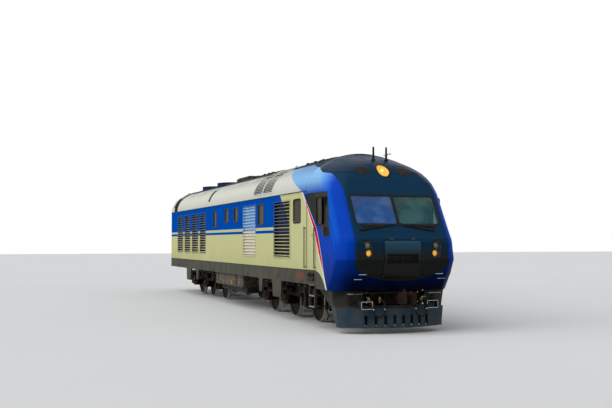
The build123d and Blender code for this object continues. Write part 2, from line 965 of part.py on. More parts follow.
def cab_shell():
    """Hollow cab and nose with its window, door, lamp and hatch openings."""
    shell = nose_solid(0) - nose_solid(wall)
    shell -= block(
        (cab_joint_station - 20, skirt_front),
        (nose_bottom_height - 50, floor_height),
        (-half_width - 50, half_width + 50),
    )
    for slab in screen_blocks(0, -wall - 120, 60, 60):
        shell -= slab
    for side in (-1, 1):
        x_from, x_to = sorted((side * (half_width - wall - 60), side * (half_width + 60)))
        shell -= rounded_side_slab(
            window_rear, window_front, window_low, window_high, window_corner, x_from, x_to
        )
        shell -= block((door_rear, door_front), (door_bottom, door_top), (x_from, x_to))
        shell -= z_cylinder(
            hinge_pin_radius + running_fit,
            side * hinge_x,
            hinge_station,
            door_top - 5,
            door_top + hinge_pin_length,
        )
    shell -= headlamp_bore(lamp_radius, lamp_back_setback + 300)
    for cluster in both(front_prism(cluster_corners, -50, wall + 200)):
        shell -= cluster
    hatch_block = block(
        (nose_station - 200, nose_station + 50),
        (hatch_low, hatch_high),
        (-hatch_half_width, hatch_half_width),
    )
    shell -= hatch_block - nose_solid(hatch_thickness)
    return shell


def nose_hatch():
    """Flush cover on the nose with a shallow dark recess."""
    cover = block(
        (nose_station - 200, nose_station + 50),
        (hatch_low + panel_gap, hatch_high - panel_gap),
        (panel_gap - hatch_half_width, hatch_half_width - panel_gap),
    )
    cover = (cover & nose_solid(0)) - nose_solid(hatch_thickness)
    recess = block(
        (nose_station - 200, nose_station + 50), (vent_low, vent_high), (-vent_half_width, vent_half_width)
    )
    return cover - (recess - nose_solid(vent_depth))


def headlamp_housing():
    """Round lamp cup behind the skin."""
    cup = headlamp_bore(lamp_radius - seat_gap, lamp_back_setback) & nose_solid(0)
    return cup - headlamp_bore(lamp_radius - lamp_tube, lamp_back_setback - lamp_tube)


def headlamp_glass():
    """Lamp glass that follows the skin."""
    disc = headlamp_bore(lamp_radius - lamp_tube - seat_gap, lamp_back_setback - 50)
    return (disc & nose_solid(4)) - nose_solid(14)


def lamp_cluster():
    """Left lamp cluster's housing with two round cups."""
    housing = front_prism(cluster_corners, -50, cluster_depth, -seat_gap) & nose_solid(14)
    for x, height, radius in ((945, cluster_high - 130, 82), (915, cluster_low + 125, 82)):
        housing -= y_cylinder(radius, nose_station - cluster_depth + 30, nose_station + 20, x, height)
    return housing


def lamp_cover():
    """Left lamp cluster's clear cover."""
    return (front_prism(cluster_corners, -50, cluster_depth, -seat_gap) & nose_solid(2)) - nose_solid(10)


def cab_door():
    """Left cab door, its hinge edge rounded about the pins."""
    low, high = door_bottom + door_gap, door_top - door_gap
    leaf = block(
        (hinge_station, door_front - door_gap), (low, high), (-half_width, door_thickness - half_width)
    )
    leaf += z_cylinder(door_edge_radius, -hinge_x, hinge_station, low, high)
    leaf += z_cylinder(
        hinge_pin_radius, -hinge_x, hinge_station, high, door_top + hinge_pin_length - shaft_end_gap
    )
    leaf += z_cylinder(hinge_pin_radius, -hinge_x, hinge_station, door_bottom - hinge_pin_length, low)
    place = door_front - 75
    handle = floor_height + 440
    grip = block((place - 15, place + 15), (handle, handle + 130), (-half_width - 34, -half_width - 22))
    for height in (handle + 10, handle + 120):
        grip += x_cylinder(8, -half_width - 24, -half_width, place, height)
    return leaf + grip


# Body shell parts
bulkhead_thickness = 60
bulkhead_rear = cab_joint_station - 40 - bulkhead_thickness
doorway_half_width = 350
doorway_top = eaves_height - 220
end_door_half_width = 400
end_door_top = eaves_height - 220
end_door_inset = 15
gutter_depth = 18
gutter_height = 20
# Skirt pillars, columns rear station, front station and drop below the skirt
pillars = [
    (3470, 4330, 490),
    (5360, 5750, 410),
    (14340, 14730, 410),
    (15740, 16620, 490),
]
pillar_taper = 60
tank_rear = 8300
tank_front = 12050
tank_bottom = 480
tank_step = 700
tank_half_width = 1540
tank_lower_half_width = 1330


def bulkhead():
    """Wall behind the cab with its doorway."""
    panel = section_solid(
        bulkhead_rear, bulkhead_rear + bulkhead_thickness, wall + seat_gap, floor_height
    )
    return panel - block(
        (bulkhead_rear - 5, bulkhead_rear + bulkhead_thickness + 5),
        (floor_height - 5, doorway_top),
        (-doorway_half_width, doorway_half_width),
    )


def end_wall():
    """Flat rear wall with the gangway's doorway and the door's lower and upper pin holes."""
    panel = section_solid(0, wall, wall + seat_gap, skirt_bottom_height)
    panel -= block(
        (-5, wall + 5), (floor_height, end_door_top), (-end_door_half_width, end_door_half_width)
    )
    x = door_gap + door_edge_radius - end_door_half_width
    station = end_door_inset + door_edge_radius
    panel -= z_cylinder(
        hinge_pin_radius + running_fit,
        x,
        station,
        floor_height - hinge_pin_length - shaft_end_gap,
        end_door_top + hinge_pin_length,
    )
    return panel


def end_door():
    """Gangway door, its hinge edge rounded about the pins."""
    x = door_gap + door_edge_radius - end_door_half_width
    station = end_door_inset + door_edge_radius
    low, high = floor_height + door_gap, end_door_top - door_gap
    leaf = block(
        (end_door_inset, end_door_inset + door_thickness), (low, high), (x, end_door_half_width - door_gap)
    )
    leaf += z_cylinder(door_edge_radius, x, station, low, high)
    return leaf + z_cylinder(
        hinge_pin_radius,
        x,
        station,
        floor_height - hinge_pin_length,
        end_door_top + hinge_pin_length - shaft_end_gap,
    )


def gangway():
    """Rubber gangway ring round the rear doorway, with two folds."""
    ring = []
    low, high = floor_height - 50, end_door_top + 140
    for near, far, grow in ((0, 70, 0), (70, 110, -45), (110, 170, 0), (170, 210, -45), (210, 270, 0)):
        frame = block((-far, -near), (low - grow, high + grow), (-620 - grow, 620 + grow))
        ring.append(frame - block((-far - 5, -near + 5), (floor_height, high - 110), (-430, 430)))
    whole = ring[0]
    for piece in ring[1:]:
        whole += piece
    return whole


def skirt():
    """Left skirt band over the bogies, with the lower pin hole of the cab door."""
    band = block(
        (0, skirt_front), (skirt_bottom_height, floor_height), (-half_width, skirt_wall - half_width)
    )
    return band - z_cylinder(
        hinge_pin_radius + running_fit,
        -hinge_x,
        hinge_station,
        door_bottom - hinge_pin_length - shaft_end_gap,
        door_bottom + 5,
    )


def skirt_pillar(rear, front, drop):
    """Tapered pillar hanging from the left skirt band."""
    low = skirt_bottom_height - drop
    corners = [
        (rear, skirt_bottom_height),
        (front, skirt_bottom_height),
        (front - pillar_taper, low),
        (rear + pillar_taper, low),
    ]
    return side_prism(corners, -half_width, skirt_wall - half_width)


def window_panes():
    """Left side window glass."""
    panes = []
    for rear, front, low, high in map(window_span, small_windows):
        panes.append(
            rounded_side_slab(
                rear + seat_gap,
                front - seat_gap,
                low + seat_gap,
                high - seat_gap,
                window_corner,
                pane_sink - half_width,
                pane_sink + pane_thickness - half_width,
            )
        )
    return panes


def window_frames():
    """Raised rubber and metal frames round the left side windows."""
    frames = []
    rows = [window_span(row) for row in small_windows]
    rows.append((window_rear, window_front, window_low, window_high))
    for rear, front, low, high in rows:
        outer = rounded_side_slab(
            rear - 30, front + 30, low - 30, high + 30, window_corner + 30, -half_width - 8, -half_width
        )
        inner = rounded_side_slab(
            rear + 8, front - 8, low + 8, high - 8, window_corner - 8, -half_width - 20, 20 - half_width
        )
        frames.append(outer - inner)
    return frames


def cab_panes():
    """Left cab side window: the rear pane closed, the front one slid back behind it."""
    middle = (window_rear + window_front) / 2
    panes = []
    for front, sink in ((middle + 20, pane_sink), (middle - 10, pane_sink + pane_thickness + 4)):
        panes.append(
            rounded_side_slab(
                window_rear + seat_gap,
                front,
                window_low + seat_gap,
                window_high - seat_gap,
                window_corner,
                sink - half_width,
                sink + pane_thickness - half_width,
            )
        )
    return panes


def screen_frame():
    """Raised black frame round both windscreen panes."""
    width = 2 * screen_half_width + 2 * frame_width
    outline = RectangleRounded(width, screen_rise + 2 * frame_width, 90)
    plate = extrude(screen_plane(screen_mid, 0) * outline, frame_proud)
    for hole in screen_blocks(-6, -50, 60, 55):
        plate -= hole
    return plate


def wiper(side):
    """Parked wiper: spindle, arm and blade below one pane."""
    low = screen_plane(screen_bottom_height - 75, 0)
    spindle = low * Pos(side * 1000, 0, 15) * Cylinder(22, 30)
    arm = low * Pos(side * 720, 18, 26) * Rot(0, 0, -side * 3) * Box(600, 22, 14)
    blade = low * Pos(side * 530, 40, 20) * Rot(0, 0, -side * 2) * Box(820, 16, 24)
    return spindle + arm + blade


def fuel_tank():
    """Fuel tank between the bogies, its lower part stepped in."""
    upper = block(
        (tank_rear, tank_front), (tank_step, bolster_bottom_height), (-tank_half_width, tank_half_width)
    )
    upper = fillet(upper.edges().filter_by(Axis.Z), 60)
    lower = block(
        (tank_rear + 150, tank_front - 150),
        (tank_bottom, tank_step),
        (-tank_lower_half_width, tank_lower_half_width),
    )
    lower = chamfer(lower.faces().sort_by(Axis.Z)[0].edges(), 70)
    return upper + lower


hatch_proud = 28
silencer_rear = 7550
silencer_front = 9250
silencer_half_width = 520
silencer_rise = 82
outlet_stations = (8000, 8800)
roof_hatches = [(9700, 11300), (11700, 13100), (16100, 17800)]


def roof_box():
    """Exhaust silencer's cover on the ridge."""
    top = roof_height + silencer_rise
    sides = (-silencer_half_width, silencer_half_width)
    cover = block((silencer_rear, silencer_front), (top - 230, top), sides)
    cover = chamfer(cover.faces().sort_by(Axis.Z)[-1].edges(), 60)
    for station in outlet_stations:
        cover -= block((station - 260, station + 260), (top - 20, top + 5), (-200, 200))
    return cover - section_solid(silencer_rear - 50, silencer_front + 50, 0, eaves_height)


def ridge_hatch(rear, front):
    """Low cover on the roof's ridge."""
    lid = block((rear, front), (roof_height - 300, roof_height + hatch_proud), (-700, 700))
    lid -= section_solid(rear - 50, front + 50, 0, eaves_height)
    return lid & section_solid(rear - 5, front + 5, -hatch_proud, eaves_height)


def aerial(x, station):
    """Upright rod aerial with its foot on the cab roof."""
    low = nose_top(station)
    foot = z_cylinder(45, x, station, low - 60, low + 30)
    stem = z_cylinder(22, x, station, low, low + 370)
    return foot + stem - nose_solid(0)


def nose_top(station):
    """Height of the nose's centre line at a station."""
    setback = nose_station - station
    for (h1, n1, *_), (h2, n2, *_) in zip(nose_rows[2:], nose_rows[3:]):
        if n1 <= setback <= n2:
            return h1 + (h2 - h1) * (setback - n1) / (n2 - n1)
    return nose_rows[-1][0]


def desk():
    """Driver's desk across the cab."""
    # Desk outline, columns station ahead of the cab joint and height above the floor
    outline = [
        (1320, 630),
        (1320, 680),
        (1660, 780),
        (2140, 810),
        (2140, 480),
        (1860, 0),
        (1620, 0),
        (1570, 600),
    ]
    corners = [(cab_joint_station + ahead, floor_height + rise) for ahead, rise in outline]
    return side_prism(corners, -1150, 1150)


def seat(x):
    """Seat on a pedestal."""
    place = cab_joint_station + 800
    low = floor_height + 440
    whole = z_cylinder(60, x, place, floor_height, low)
    whole += block((place - 230, place + 230), (low - 20, low + 80), (x - 240, x + 240))
    return whole + block((place - 270, place - 180), (low + 40, low + 660), (x - 230, x + 230))


def mirror_arm():
    """Left driving mirror on its short arm."""
    place = window_front + 145
    high = window_low - 60
    head = block((place - 35, place + 35), (high - 240, high), (-half_width - 120, -half_width - 40))
    return head + x_cylinder(12, -half_width - 60, -half_width, place, high - 60)


def door_rail(station):
    """Grab rail beside the left cab door."""
    x = -half_width - 55
    low, high = floor_height + 40, floor_height + 1160
    rail = z_cylinder(14, x, station, low, high)
    for height in (low + 40, high - 40):
        rail += x_cylinder(12, x, -half_width, station, height)
    return rail


def front_rail(x_from, x_to):
    """Level grab rail on the valance."""
    station = nose_station - 430
    height = nose_bottom_height - 79
    rail = x_cylinder(13, x_from, x_to, station, height)
    for x in (x_from + 40, x_to - 40):
        rail += y_cylinder(11, station - 300, station, x, height)
    return rail - pilot_core()


def pilot_core():
    """Solid body of the pilot's outer form."""
    return Solid.make_loft([pilot_outline(*row, 0) for row in pilot_rows], ruled=True)


def cab_step():
    """Left steps under the cab door."""
    outer = skirt_wall - half_width
    rear, front = door_rear, door_rear + 430
    uprights = (520, 1400)
    steps = block((rear, rear + 30), uprights, (outer, outer + 70))
    steps += block((front - 30, front), uprights, (outer, outer + 70))
    for height in (540, 830, 1120):
        steps += block((rear, front), (height, height + 25), (outer, outer + 190))
    return steps


save("underframe", underframe())
anchors = [centre_pivot(station) for station in bogie_stations.values()]
anchors += [draft_box(wall, 1), draft_box(draft_front_station, -1)]
save("pivots_and_draft_boxes", anchors)
save("cab_shell", cab_shell())
save("nose_hatch", nose_hatch())
save("lamp_housings", [headlamp_housing()] + both(lamp_cluster()))
save("lamp_glasses", [headlamp_glass()] + both(lamp_cover()))
save("windscreen_glass", screen_blocks(-seat_gap, -screen_sink - screen_glass, -screen_sink, 60))
save("windscreen_frame", screen_frame())
save("wipers", [wiper(side) for side in (-1, 1)])
save("pilot", pilot())
rails = [front_rail(-1290, -930), front_rail(930, 1290)]
rails += [item for s in (door_rear - 80, door_front + 60) for item in both(door_rail(s))]
save("rails_and_steps", rails + both(cab_step()))
for name, door in zip(("left", "right"), both(cab_door())):
    save("cab_door_" + name, door)
all_panes = [both(pane) for pane in window_panes() + cab_panes()]
for name, panes in zip(("left", "right"), zip(*all_panes)):
    save("window_glass_" + name, list(panes))
save("window_frames", [item for frame in window_frames() for item in both(frame)])
save("mirrors", both(mirror_arm()))
for name, item in zip(("left", "right"), both(side_wall())):
    save("side_wall_" + name, item)
all_louvres = [both(louvre(*louvre_span(row))) for row in side_louvres]
for name, panels in zip(("left", "right"), zip(*all_louvres)):
    save("side_louvres_" + name, list(panels))
for name, item in zip(("left", "right"), both(skirt())):
    save("skirt_" + name, item)
save("skirt_pillars", [item for row in pillars for item in both(skirt_pillar(*row))])
save("end_wall", end_wall())
save("end_door", end_door())
save("gangway", gangway())
save("bulkhead", bulkhead())
for index, name in enumerate(("rear", "middle", "front")):
    section = roof_section(roof_joints[index], roof_joints[index + 1])
    if name == "rear":
        for station in fan_stations:
            section -= z_cylinder(fan_ring_outer, 0, station, eaves_height, roof_height + 200)
            section += fan_ring(station) + fan_carrier(station)
    if name == "front":
        for opening in both(roof_band_opening()):
            section -= opening
    save("roof_" + name, section)
for name, item in zip(("left", "right"), both(roof_band())):
    save("roof_louvre_" + name, item)
hatches = [ridge_hatch(rear, front) for rear, front in roof_hatches]
save("roof_covers", [roof_box()] + hatches)
aerial_station = cab_joint_station + 740
save("roof_aerials", [aerial(x, aerial_station) for x in (0, 380)])
gutter = block(
    (0, cab_joint_station),
    (eaves_height, eaves_height + gutter_height),
    (-half_width - gutter_depth, -half_width),
)
save("rain_gutters", both(gutter - section_solid(-10, cab_joint_station + 10, 0, eaves_height - 10)))
for index, station in enumerate(fan_stations):
    save("cooling_fan_" + str(index + 1), cooling_fan(station))
save("fan_guards", [fan_guard(station) for station in fan_stations])
save("fuel_tank", fuel_tank())
engine_heights = (floor_height, floor_height + 1730)
save("engine_block", block((8300, 12800), engine_heights, (-750, 750)))
save("cab_desk", desk())
save("cab_seats", [seat(x) for x in (-680, 680)])
for name, station in bogie_stations.items():
    save("bogie_frame_" + name, bogie_frame(station))
    save("axle_boxes_" + name, axle_boxes(station))
    save("traction_motors_" + name, traction_motors(station))
    save("brake_gear_" + name, brake_gear(station))
    for index, offset in enumerate((-axle_spacing, 0, axle_spacing)):
        save("wheelset_" + name + "_" + str(index + 1), wheelset(station + offset))
end_panel = block((0, wall), (skirt_bottom_height - 20, floor_height), (-half_width, half_width))
hoses = both(brake_hose(headstock_stations[1], nose_station - 170, 800, headstock()))
hoses += both(brake_hose(0, -230, skirt_bottom_height + 50, end_panel))
save("brake_hoses", hoses)
save("coupler_front", coupler(front_coupler_station, 1))
save("coupler_rear", coupler(-rear_coupler_reach, -1))
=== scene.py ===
import math
from functools import cached_property

import bpy
import numpy as np
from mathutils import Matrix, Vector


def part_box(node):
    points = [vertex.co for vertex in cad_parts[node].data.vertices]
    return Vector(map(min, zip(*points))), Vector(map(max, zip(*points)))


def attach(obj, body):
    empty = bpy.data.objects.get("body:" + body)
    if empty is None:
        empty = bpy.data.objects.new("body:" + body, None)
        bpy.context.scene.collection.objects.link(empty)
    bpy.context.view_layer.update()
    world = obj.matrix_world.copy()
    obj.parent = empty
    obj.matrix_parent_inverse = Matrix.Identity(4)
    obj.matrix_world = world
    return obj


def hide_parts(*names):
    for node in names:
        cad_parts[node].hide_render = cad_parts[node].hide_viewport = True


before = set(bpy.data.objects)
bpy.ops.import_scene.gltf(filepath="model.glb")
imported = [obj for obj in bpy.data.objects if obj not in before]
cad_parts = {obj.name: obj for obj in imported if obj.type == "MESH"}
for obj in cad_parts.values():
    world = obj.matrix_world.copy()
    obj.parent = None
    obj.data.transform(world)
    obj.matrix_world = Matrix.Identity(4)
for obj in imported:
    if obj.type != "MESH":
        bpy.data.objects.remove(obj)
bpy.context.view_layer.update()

# Stations count metres forward of the rear end wall, heights metres above the rail's top
REAR_Y = 10.55
RAIL_Z = 0.028
HALF_WIDTH = 1.652
EAVES = 3.64
ROOF = 4.708
FLOOR = 1.52
CAB_JOINT = 18.76
NOSE = 21.27
NOSE_EDGE = 19.45
COUPLER = 0.88
# The roof's outline: a shoulder circle on each side, meeting a flat crown circle
SHOULDER = 0.8
SHOULDER_X = HALF_WIDTH - SHOULDER
RISE = ROOF - EAVES
CROWN = (SHOULDER_X**2 + RISE**2 - SHOULDER**2) / (2 * (RISE - SHOULDER))
CROWN_LOW = ROOF - CROWN
TANGENT = math.atan2(EAVES - CROWN_LOW, SHOULDER_X)
MEET_X = SHOULDER_X + SHOULDER * math.cos(TANGENT)
MEET_HEIGHT = EAVES + SHOULDER * math.sin(TANGENT)
# Running gear, tank's flat side, fans and hoses
TREAD = 0.525
SILL_X = 1.1
TANK_X = -1.54
BOGIES = {"rear": 4.95, "front": 15.45}
AXLES = (-2.0, 0.0, 2.0)
FANS = (2.85, 5.55)
HOSES_X = (-0.43, -0.735, 0.43, 0.735)
AHEAD, BACK, LEFT, UP = (0, -1, 0), (0, 1, 0), (-1, 0, 0), (0, 0, 1)
# Way out of the nose's skin below the windscreen, where the wipers stand
OFF_NOSE = (0, -0.86, 0.5)


def at(x, station, height):
    """Point in the frame from X, a station and a height, or points from arrays of them."""
    parts = (np.asarray(x), REAR_Y - np.asarray(station), RAIL_Z + np.asarray(height))
    return np.stack(np.broadcast_arrays(*parts), -1).astype(float)


def roof_height(x):
    """Height of the roof's outline over X: a shoulder circle outside, a crown circle inside."""
    x = np.abs(x)
    outer = EAVES + np.sqrt(np.maximum(SHOULDER**2 - (x - SHOULDER_X) ** 2, 0))
    inner = CROWN_LOW + np.sqrt(np.maximum(CROWN**2 - x**2, 0))
    return np.where(x > MEET_X, outer, inner)


# Camera and light


def link(name, data):
    """Scene object of some data."""
    obj = bpy.data.objects.new(name, data)
    bpy.context.scene.collection.objects.link(obj)
    return obj


def set_camera():
    """Camera at the photograph's viewing place and angle."""
    data = bpy.data.cameras.new("viewing_camera")
    data.lens = 50.2
    data.sensor_width = 36.0
    data.clip_end = 500
    camera = link("viewing_camera", data)
    camera.location = (-9.55, -29.88, 2.292)
    camera.rotation_euler = (math.radians(92.55), 0, math.radians(-20))
    bpy.context.scene.camera = camera


def sun(name, energy, place, target, spread):
    """Soft sun lamp at a place, turned toward a target."""
    data = bpy.data.lights.new(name, "SUN")
    data.energy = energy
    data.angle = spread
    obj = link(name, data)
    obj.location = place
    way = obj.location - type(obj.location)(target)
    obj.rotation_euler = way.to_track_quat("Z", "Y").to_euler()


# Materials: signals carry values between nodes and take plain arithmetic


def arithmetic(operation, turned=False):
    """Method that joins a signal and a value in a Math node, the value first if turned."""

    def method(self, other):
        values = (other, self) if turned else (self, other)
        return self.finish.node("Math", {"operation": operation}, dict(enumerate(values)))

    return method


class Signal:
    """One node output, with arithmetic that adds Math nodes."""

    def __init__(self, finish, socket):
        self.finish = finish
        self.socket = socket

    __add__, __radd__ = arithmetic("ADD"), arithmetic("ADD", True)
    __sub__, __rsub__ = arithmetic("SUBTRACT"), arithmetic("SUBTRACT", True)
    __mul__, __rmul__ = arithmetic("MULTIPLY"), arithmetic("MULTIPLY", True)
    __truediv__, __rtruediv__ = arithmetic("DIVIDE"), arithmetic("DIVIDE", True)
    __pow__, __rpow__ = arithmetic("POWER"), arithmetic("POWER", True)
    least, most = arithmetic("MINIMUM"), arithmetic("MAXIMUM")

    def math(self, operation):
        return self.finish.node("Math", {"operation": operation}, {0: self})

    def __neg__(self):
        return -1.0 * self

    def __abs__(self):
        return self.math("ABSOLUTE")

    def over(self, edge, soft=0.006):
        """1 where the value is above an edge, 0 below, eased across a soft width."""
        values = {0: self, 1: edge - soft / 2, 2: edge + soft / 2, 3: 0.0, 4: 1.0}
        return self.finish.node("MapRange", {"interpolation_type": "SMOOTHSTEP"}, values)

    def under(self, edge, soft=0.006):
        return 1 - self.over(edge, soft)

    def within(self, low, high, soft=0.006):
        return self.over(low, soft) * self.under(high, soft)


def paint(red, green, blue):
    """Linear colour from display values of 0 to 255."""
    parts = np.array([red, green, blue]) / 255
    linear = np.where(parts <= 0.04045, parts / 12.92, ((parts + 0.055) / 1.055) ** 2.4)
    return (*linear.tolist(), 1.0)


SOCKETS = {
    "shine": "Specular IOR Level",
    "ior": "IOR",
    "metal": "Metallic",
    "alpha": "Alpha",
    "sheen": "Sheen Weight",
    "glow": "Emission Strength",
    "light": "Emission Color",
}


class Finish:
    """A material being made, with its nodes and the slot of the record that it stands for."""

    def __init__(self, name, slot, owner=None):
        self.material = owner or bpy.data.materials.new(name)
        self.material.use_nodes = True
        self.tree = self.material.node_tree
        self.tree.nodes.clear()
        self.slot = slot

    def node(self, kind, settings=None, values=None, out=0):
        """Add a shader node, set its settings, then fill its sockets with values or links."""
        made = self.tree.nodes.new("ShaderNode" + kind)
        for key, value in (settings or {}).items():
            setattr(made, key, value)
        for key, value in (values or {}).items():
            if isinstance(value, Signal):
                self.tree.links.new(value.socket, made.inputs[key])
            else:
                made.inputs[key].default_value = value
        return Signal(self, made.outputs[out]) if made.outputs else made

    @cached_property
    def spot(self):
        """Object coordinates."""
        return self.node("TexCoord", out="Object")

    @cached_property
    def axes(self):
        """Signals of X, station and height."""
        x = self.node("SeparateXYZ", None, {0: self.spot}, "X")
        y, z = (Signal(self, x.socket.node.outputs[axis]) for axis in "YZ")
        return x, REAR_Y - y, z - RAIL_Z

    def facing(self, axis):
        """How far the surface faces along X, Y or Z, from -1 to 1."""
        normal = self.node("NewGeometry", out="Normal")
        return self.node("SeparateXYZ", None, {0: normal}, axis)

    def noise(self, scale, detail=4.0, rough=0.55, stretch=(1, 1, 1)):
        """Cloudy value about 0.5, stretched along the axes."""
        place = self.node("Mapping", None, {"Vector": self.spot, "Scale": stretch})
        values = {"Vector": place, "Scale": scale, "Detail": detail, "Roughness": rough}
        return self.node("TexNoise", None, values)

    def mix(self, factor, first, second):
        """Colour between two, each a signal or three display values, by a factor."""
        ends = [end if isinstance(end, Signal) else paint(*end) for end in (first, second)]
        values = {0: factor, 6: ends[0], 7: ends[1]}
        return self.node("Mix", {"data_type": "RGBA"}, values, 2)

    def coats(self, colour, *coats):
        """A colour with coats over it in turn, each a factor and a colour."""
        for factor, coat in coats:
            colour = self.mix(factor, colour, coat)
        return colour

    def shade(self, tint, rough, height=None, depth=0.004, **more):
        """Close the material: colour, roughness, a bump height and other socket values."""
        values = {"Base Color": tint, "Roughness": rough}
        values.update({SOCKETS[key]: value for key, value in more.items()})
        if height is not None:
            bump = {"Height": height, "Distance": depth, "Strength": 0.6}
            values["Normal"] = self.node("Bump", None, bump)
        shader = self.node("BsdfPrincipled", None, values)
        self.node("OutputMaterial", None, {"Surface": shader})
        return self


CREAM = (200, 200, 146)
BAND_BLUE = (0, 76, 172)
NOSE_BLUE = (0, 62, 178)
# Painted shade for the nose's lower part
NOSE_SHADE_BLUE = (0, 20, 70)
# Painted sky reflection for the nose's roof shoulder
SKY_SHEEN_BLUE = (132, 182, 222)
# Painted highlight for the nose's corner
GLEAM_BLUE = (20, 130, 240)
# Painted shade for the nose's foot
NOSE_FOOT_SHADE_BLUE = (2, 6, 16)
ROOF_WHITE = (203, 203, 191)
# Dark top paint, tinted blue by a painted sky reflection
ROOF_DARK_AND_SHEEN = (24, 46, 68)
# Dark mask paint with a painted sky reflection, for the mask's upper part
MASK_GREY_AND_SHEEN = (18, 54, 80)
MASK_LOW = (42, 45, 43)
ZONE_GREY = (54, 58, 54)
SKIRT_GREY = (72, 73, 66)
CABIN_GREY = (150, 156, 146)
STRIPE_RED = (214, 10, 10)
STRIPE_WHITE = (232, 232, 224)
SOOT = (24, 22, 20)
DUST = (112, 102, 82)
MUD = (62, 54, 42)
RUST = (104, 58, 34)


def livery(f):
    """Body colours by place: cream sides with a blue band and strip, a slanted red stripe,
    a blue nose with a dark mask round the windscreen, an off-white roof with a dark top.
    The nose, mask and top also carry painted sky reflections, a painted highlight and painted
    shade."""
    x, s, h = f.axes
    side = abs(x)
    band = h.within(2.71, EAVES + 0.004) * (s + 0.98 * (h - 2.6)).under(17.5, 0.02)
    strip = h.within(2.53, 2.62) * s.under(17.3, 0.02)
    # Edge of the blue nose, leaning back upward and more so over the roof's shoulder
    lean = s + 0.506 * (h - 2.59) + 0.459 * (h - 2.59).most(0.0) + 1.785 * (h - EAVES).most(0.0)
    ahead = lean - NOSE_EDGE
    # Painted sky reflection: pale sky blue over the nose's roof shoulder, fading out toward the
    # front
    shoulder = h.over(3.72, 0.5) * (s + 0.5 * (h - 3.7)).under(19.95, 0.7)
    ahead_facing = -f.facing("Y")
    forward = ahead_facing.over(0.6, 0.7)
    # Painted highlight: a paler blue band down the nose's corner, where the paint would reflect the
    # sky
    gleam = ahead_facing.within(0.08, 0.34, 0.2) * h.over(2.1, 1.0) * s.over(19.7, 0.5)
    nose = f.coats(
        NOSE_BLUE,
        (shoulder * 0.9, SKY_SHEEN_BLUE),
        # Painted shade: the nose darkens toward its foot, more on the faces turned ahead
        (h.under(1.75, 1.0) * (0.6 + 0.25 * forward), NOSE_SHADE_BLUE),
        (h.under(1.3, 0.5) * (0.2 + 0.7 * forward), NOSE_FOOT_SHADE_BLUE),
        (gleam * 0.3, GLEAM_BLUE),
    )
    # The stripe's half width tapers toward both ends, and its white edging stands round it
    below = h.under(EAVES)
    reach = 0.085 * (1 - ((h - 2.45) / 1.02) ** 2.0).most(0.0)
    edging = (reach + 0.06 + ahead).over(0.0) * (reach + 0.025 - ahead).over(0.0)
    # Grey apron that sweeps down ahead of the skirt
    sweep = h + 0.64 * ((s - 19.3).most(0.0)) ** 2.6
    # Dark zone round the cab's side window
    zone = h.under(3.57) * (h + 0.6 * (s - 19.6)).over(2.76) * h.over(2.42) * ahead.over(0.1)
    zone = zone * (s + 0.36 * (h - 3.57)).under(20.1) * side.over(1.4)
    # Dark mask on the nose, rounded at its foot and wider toward the roof
    foot = (1 - (((1.75 - h).most(0.0)) / 0.46) ** 2.0).most(0.0) ** 0.5
    mask_reach = 1.28 * foot + 0.13 * (h - 3.55).most(0.0)
    mask = (mask_reach - side).over(0.0, 0.01) * s.over(19.5, 0.02) * h.over(1.25)
    # The dark top comes further down the roof in three steps toward the nose
    top = h
    for gain, start, length in ((0.15, 17.8, 0.96), (0.14, CAB_JOINT, 1.24), (0.12, 19.0, 0.5)):
        top = top + gain * ((s - start) / length).most(0.0).least(1.0)
    return f.coats(
        CREAM,
        (band.most(strip), BAND_BLUE),
        (h.over(EAVES + 0.006) * s.under(CAB_JOINT + 1.4, 0.02), ROOF_WHITE),
        (h.over(3.66) * s.within(0.66, 1.36, 0.02), SOOT),
        (ahead.over(0.0), nose),
        (edging * below, STRIPE_WHITE),
        ((reach - abs(ahead)).over(0.0) * below, STRIPE_RED),
        (sweep.under(1.52) * s.over(18.0) * ahead.under(0.0), SKIRT_GREY),
        (zone, ZONE_GREY),
        # Dark mask: its upper part bluish with a painted sky reflection, grey below
        (mask, f.mix(h.under(2.05, 0.4), MASK_GREY_AND_SHEEN, MASK_LOW)),
        # Dark top of the roof and nose; its blue tint is a painted sky reflection
        (top.over(4.45, 0.012), ROOF_DARK_AND_SHEEN),
    )


def weathered(f, colour, grime=1.0):
    """A colour with rain streaks, dust low down, soot on level places and fine speckle.
    Dust shows less on the blue and the dark paint."""
    h = f.axes[2]
    streaks = f.noise(5.0, 4.0, 0.55, (1.0, 1.0, 0.07)).over(0.64, 0.3)
    patches = f.noise(0.9, 6.0, 0.6)
    speckle = f.noise(55.0, 2.0, 0.5)
    low = h.under(1.75, 1.1) * patches.over(0.42, 0.5)
    shown = 0.3 + 0.7 * (colour * 1.0).over(0.3, 0.3)
    tint = f.coats(
        colour,
        (shown * streaks * (0.055 * grime), DUST),
        (shown * low * (0.3 * grime), DUST),
        (f.facing("Z").over(0.72, 0.5) * patches.over(0.4, 0.4) * (0.4 * grime), SOOT),
        (speckle.over(0.7, 0.14) * (0.1 * grime), SOOT),
    )
    return tint, streaks, patches


def inside(f):
    """1 on the inner faces of walls, doors and end wall by place, and on those of the roof
    and the nose by the way they face."""
    x, s, h = f.axes
    walls = abs(x).under(1.6) * s.within(0.045, 19.4) * h.under(EAVES)
    roof = (-f.facing("Z")).over(0.4, 0.3) * h.over(3.0)
    nose = (-f.facing("X") * x).over(0.5, 0.3).most(f.facing("Y").over(0.5, 0.3)) * s.over(19.4)
    return walls.most(roof).most(nose)


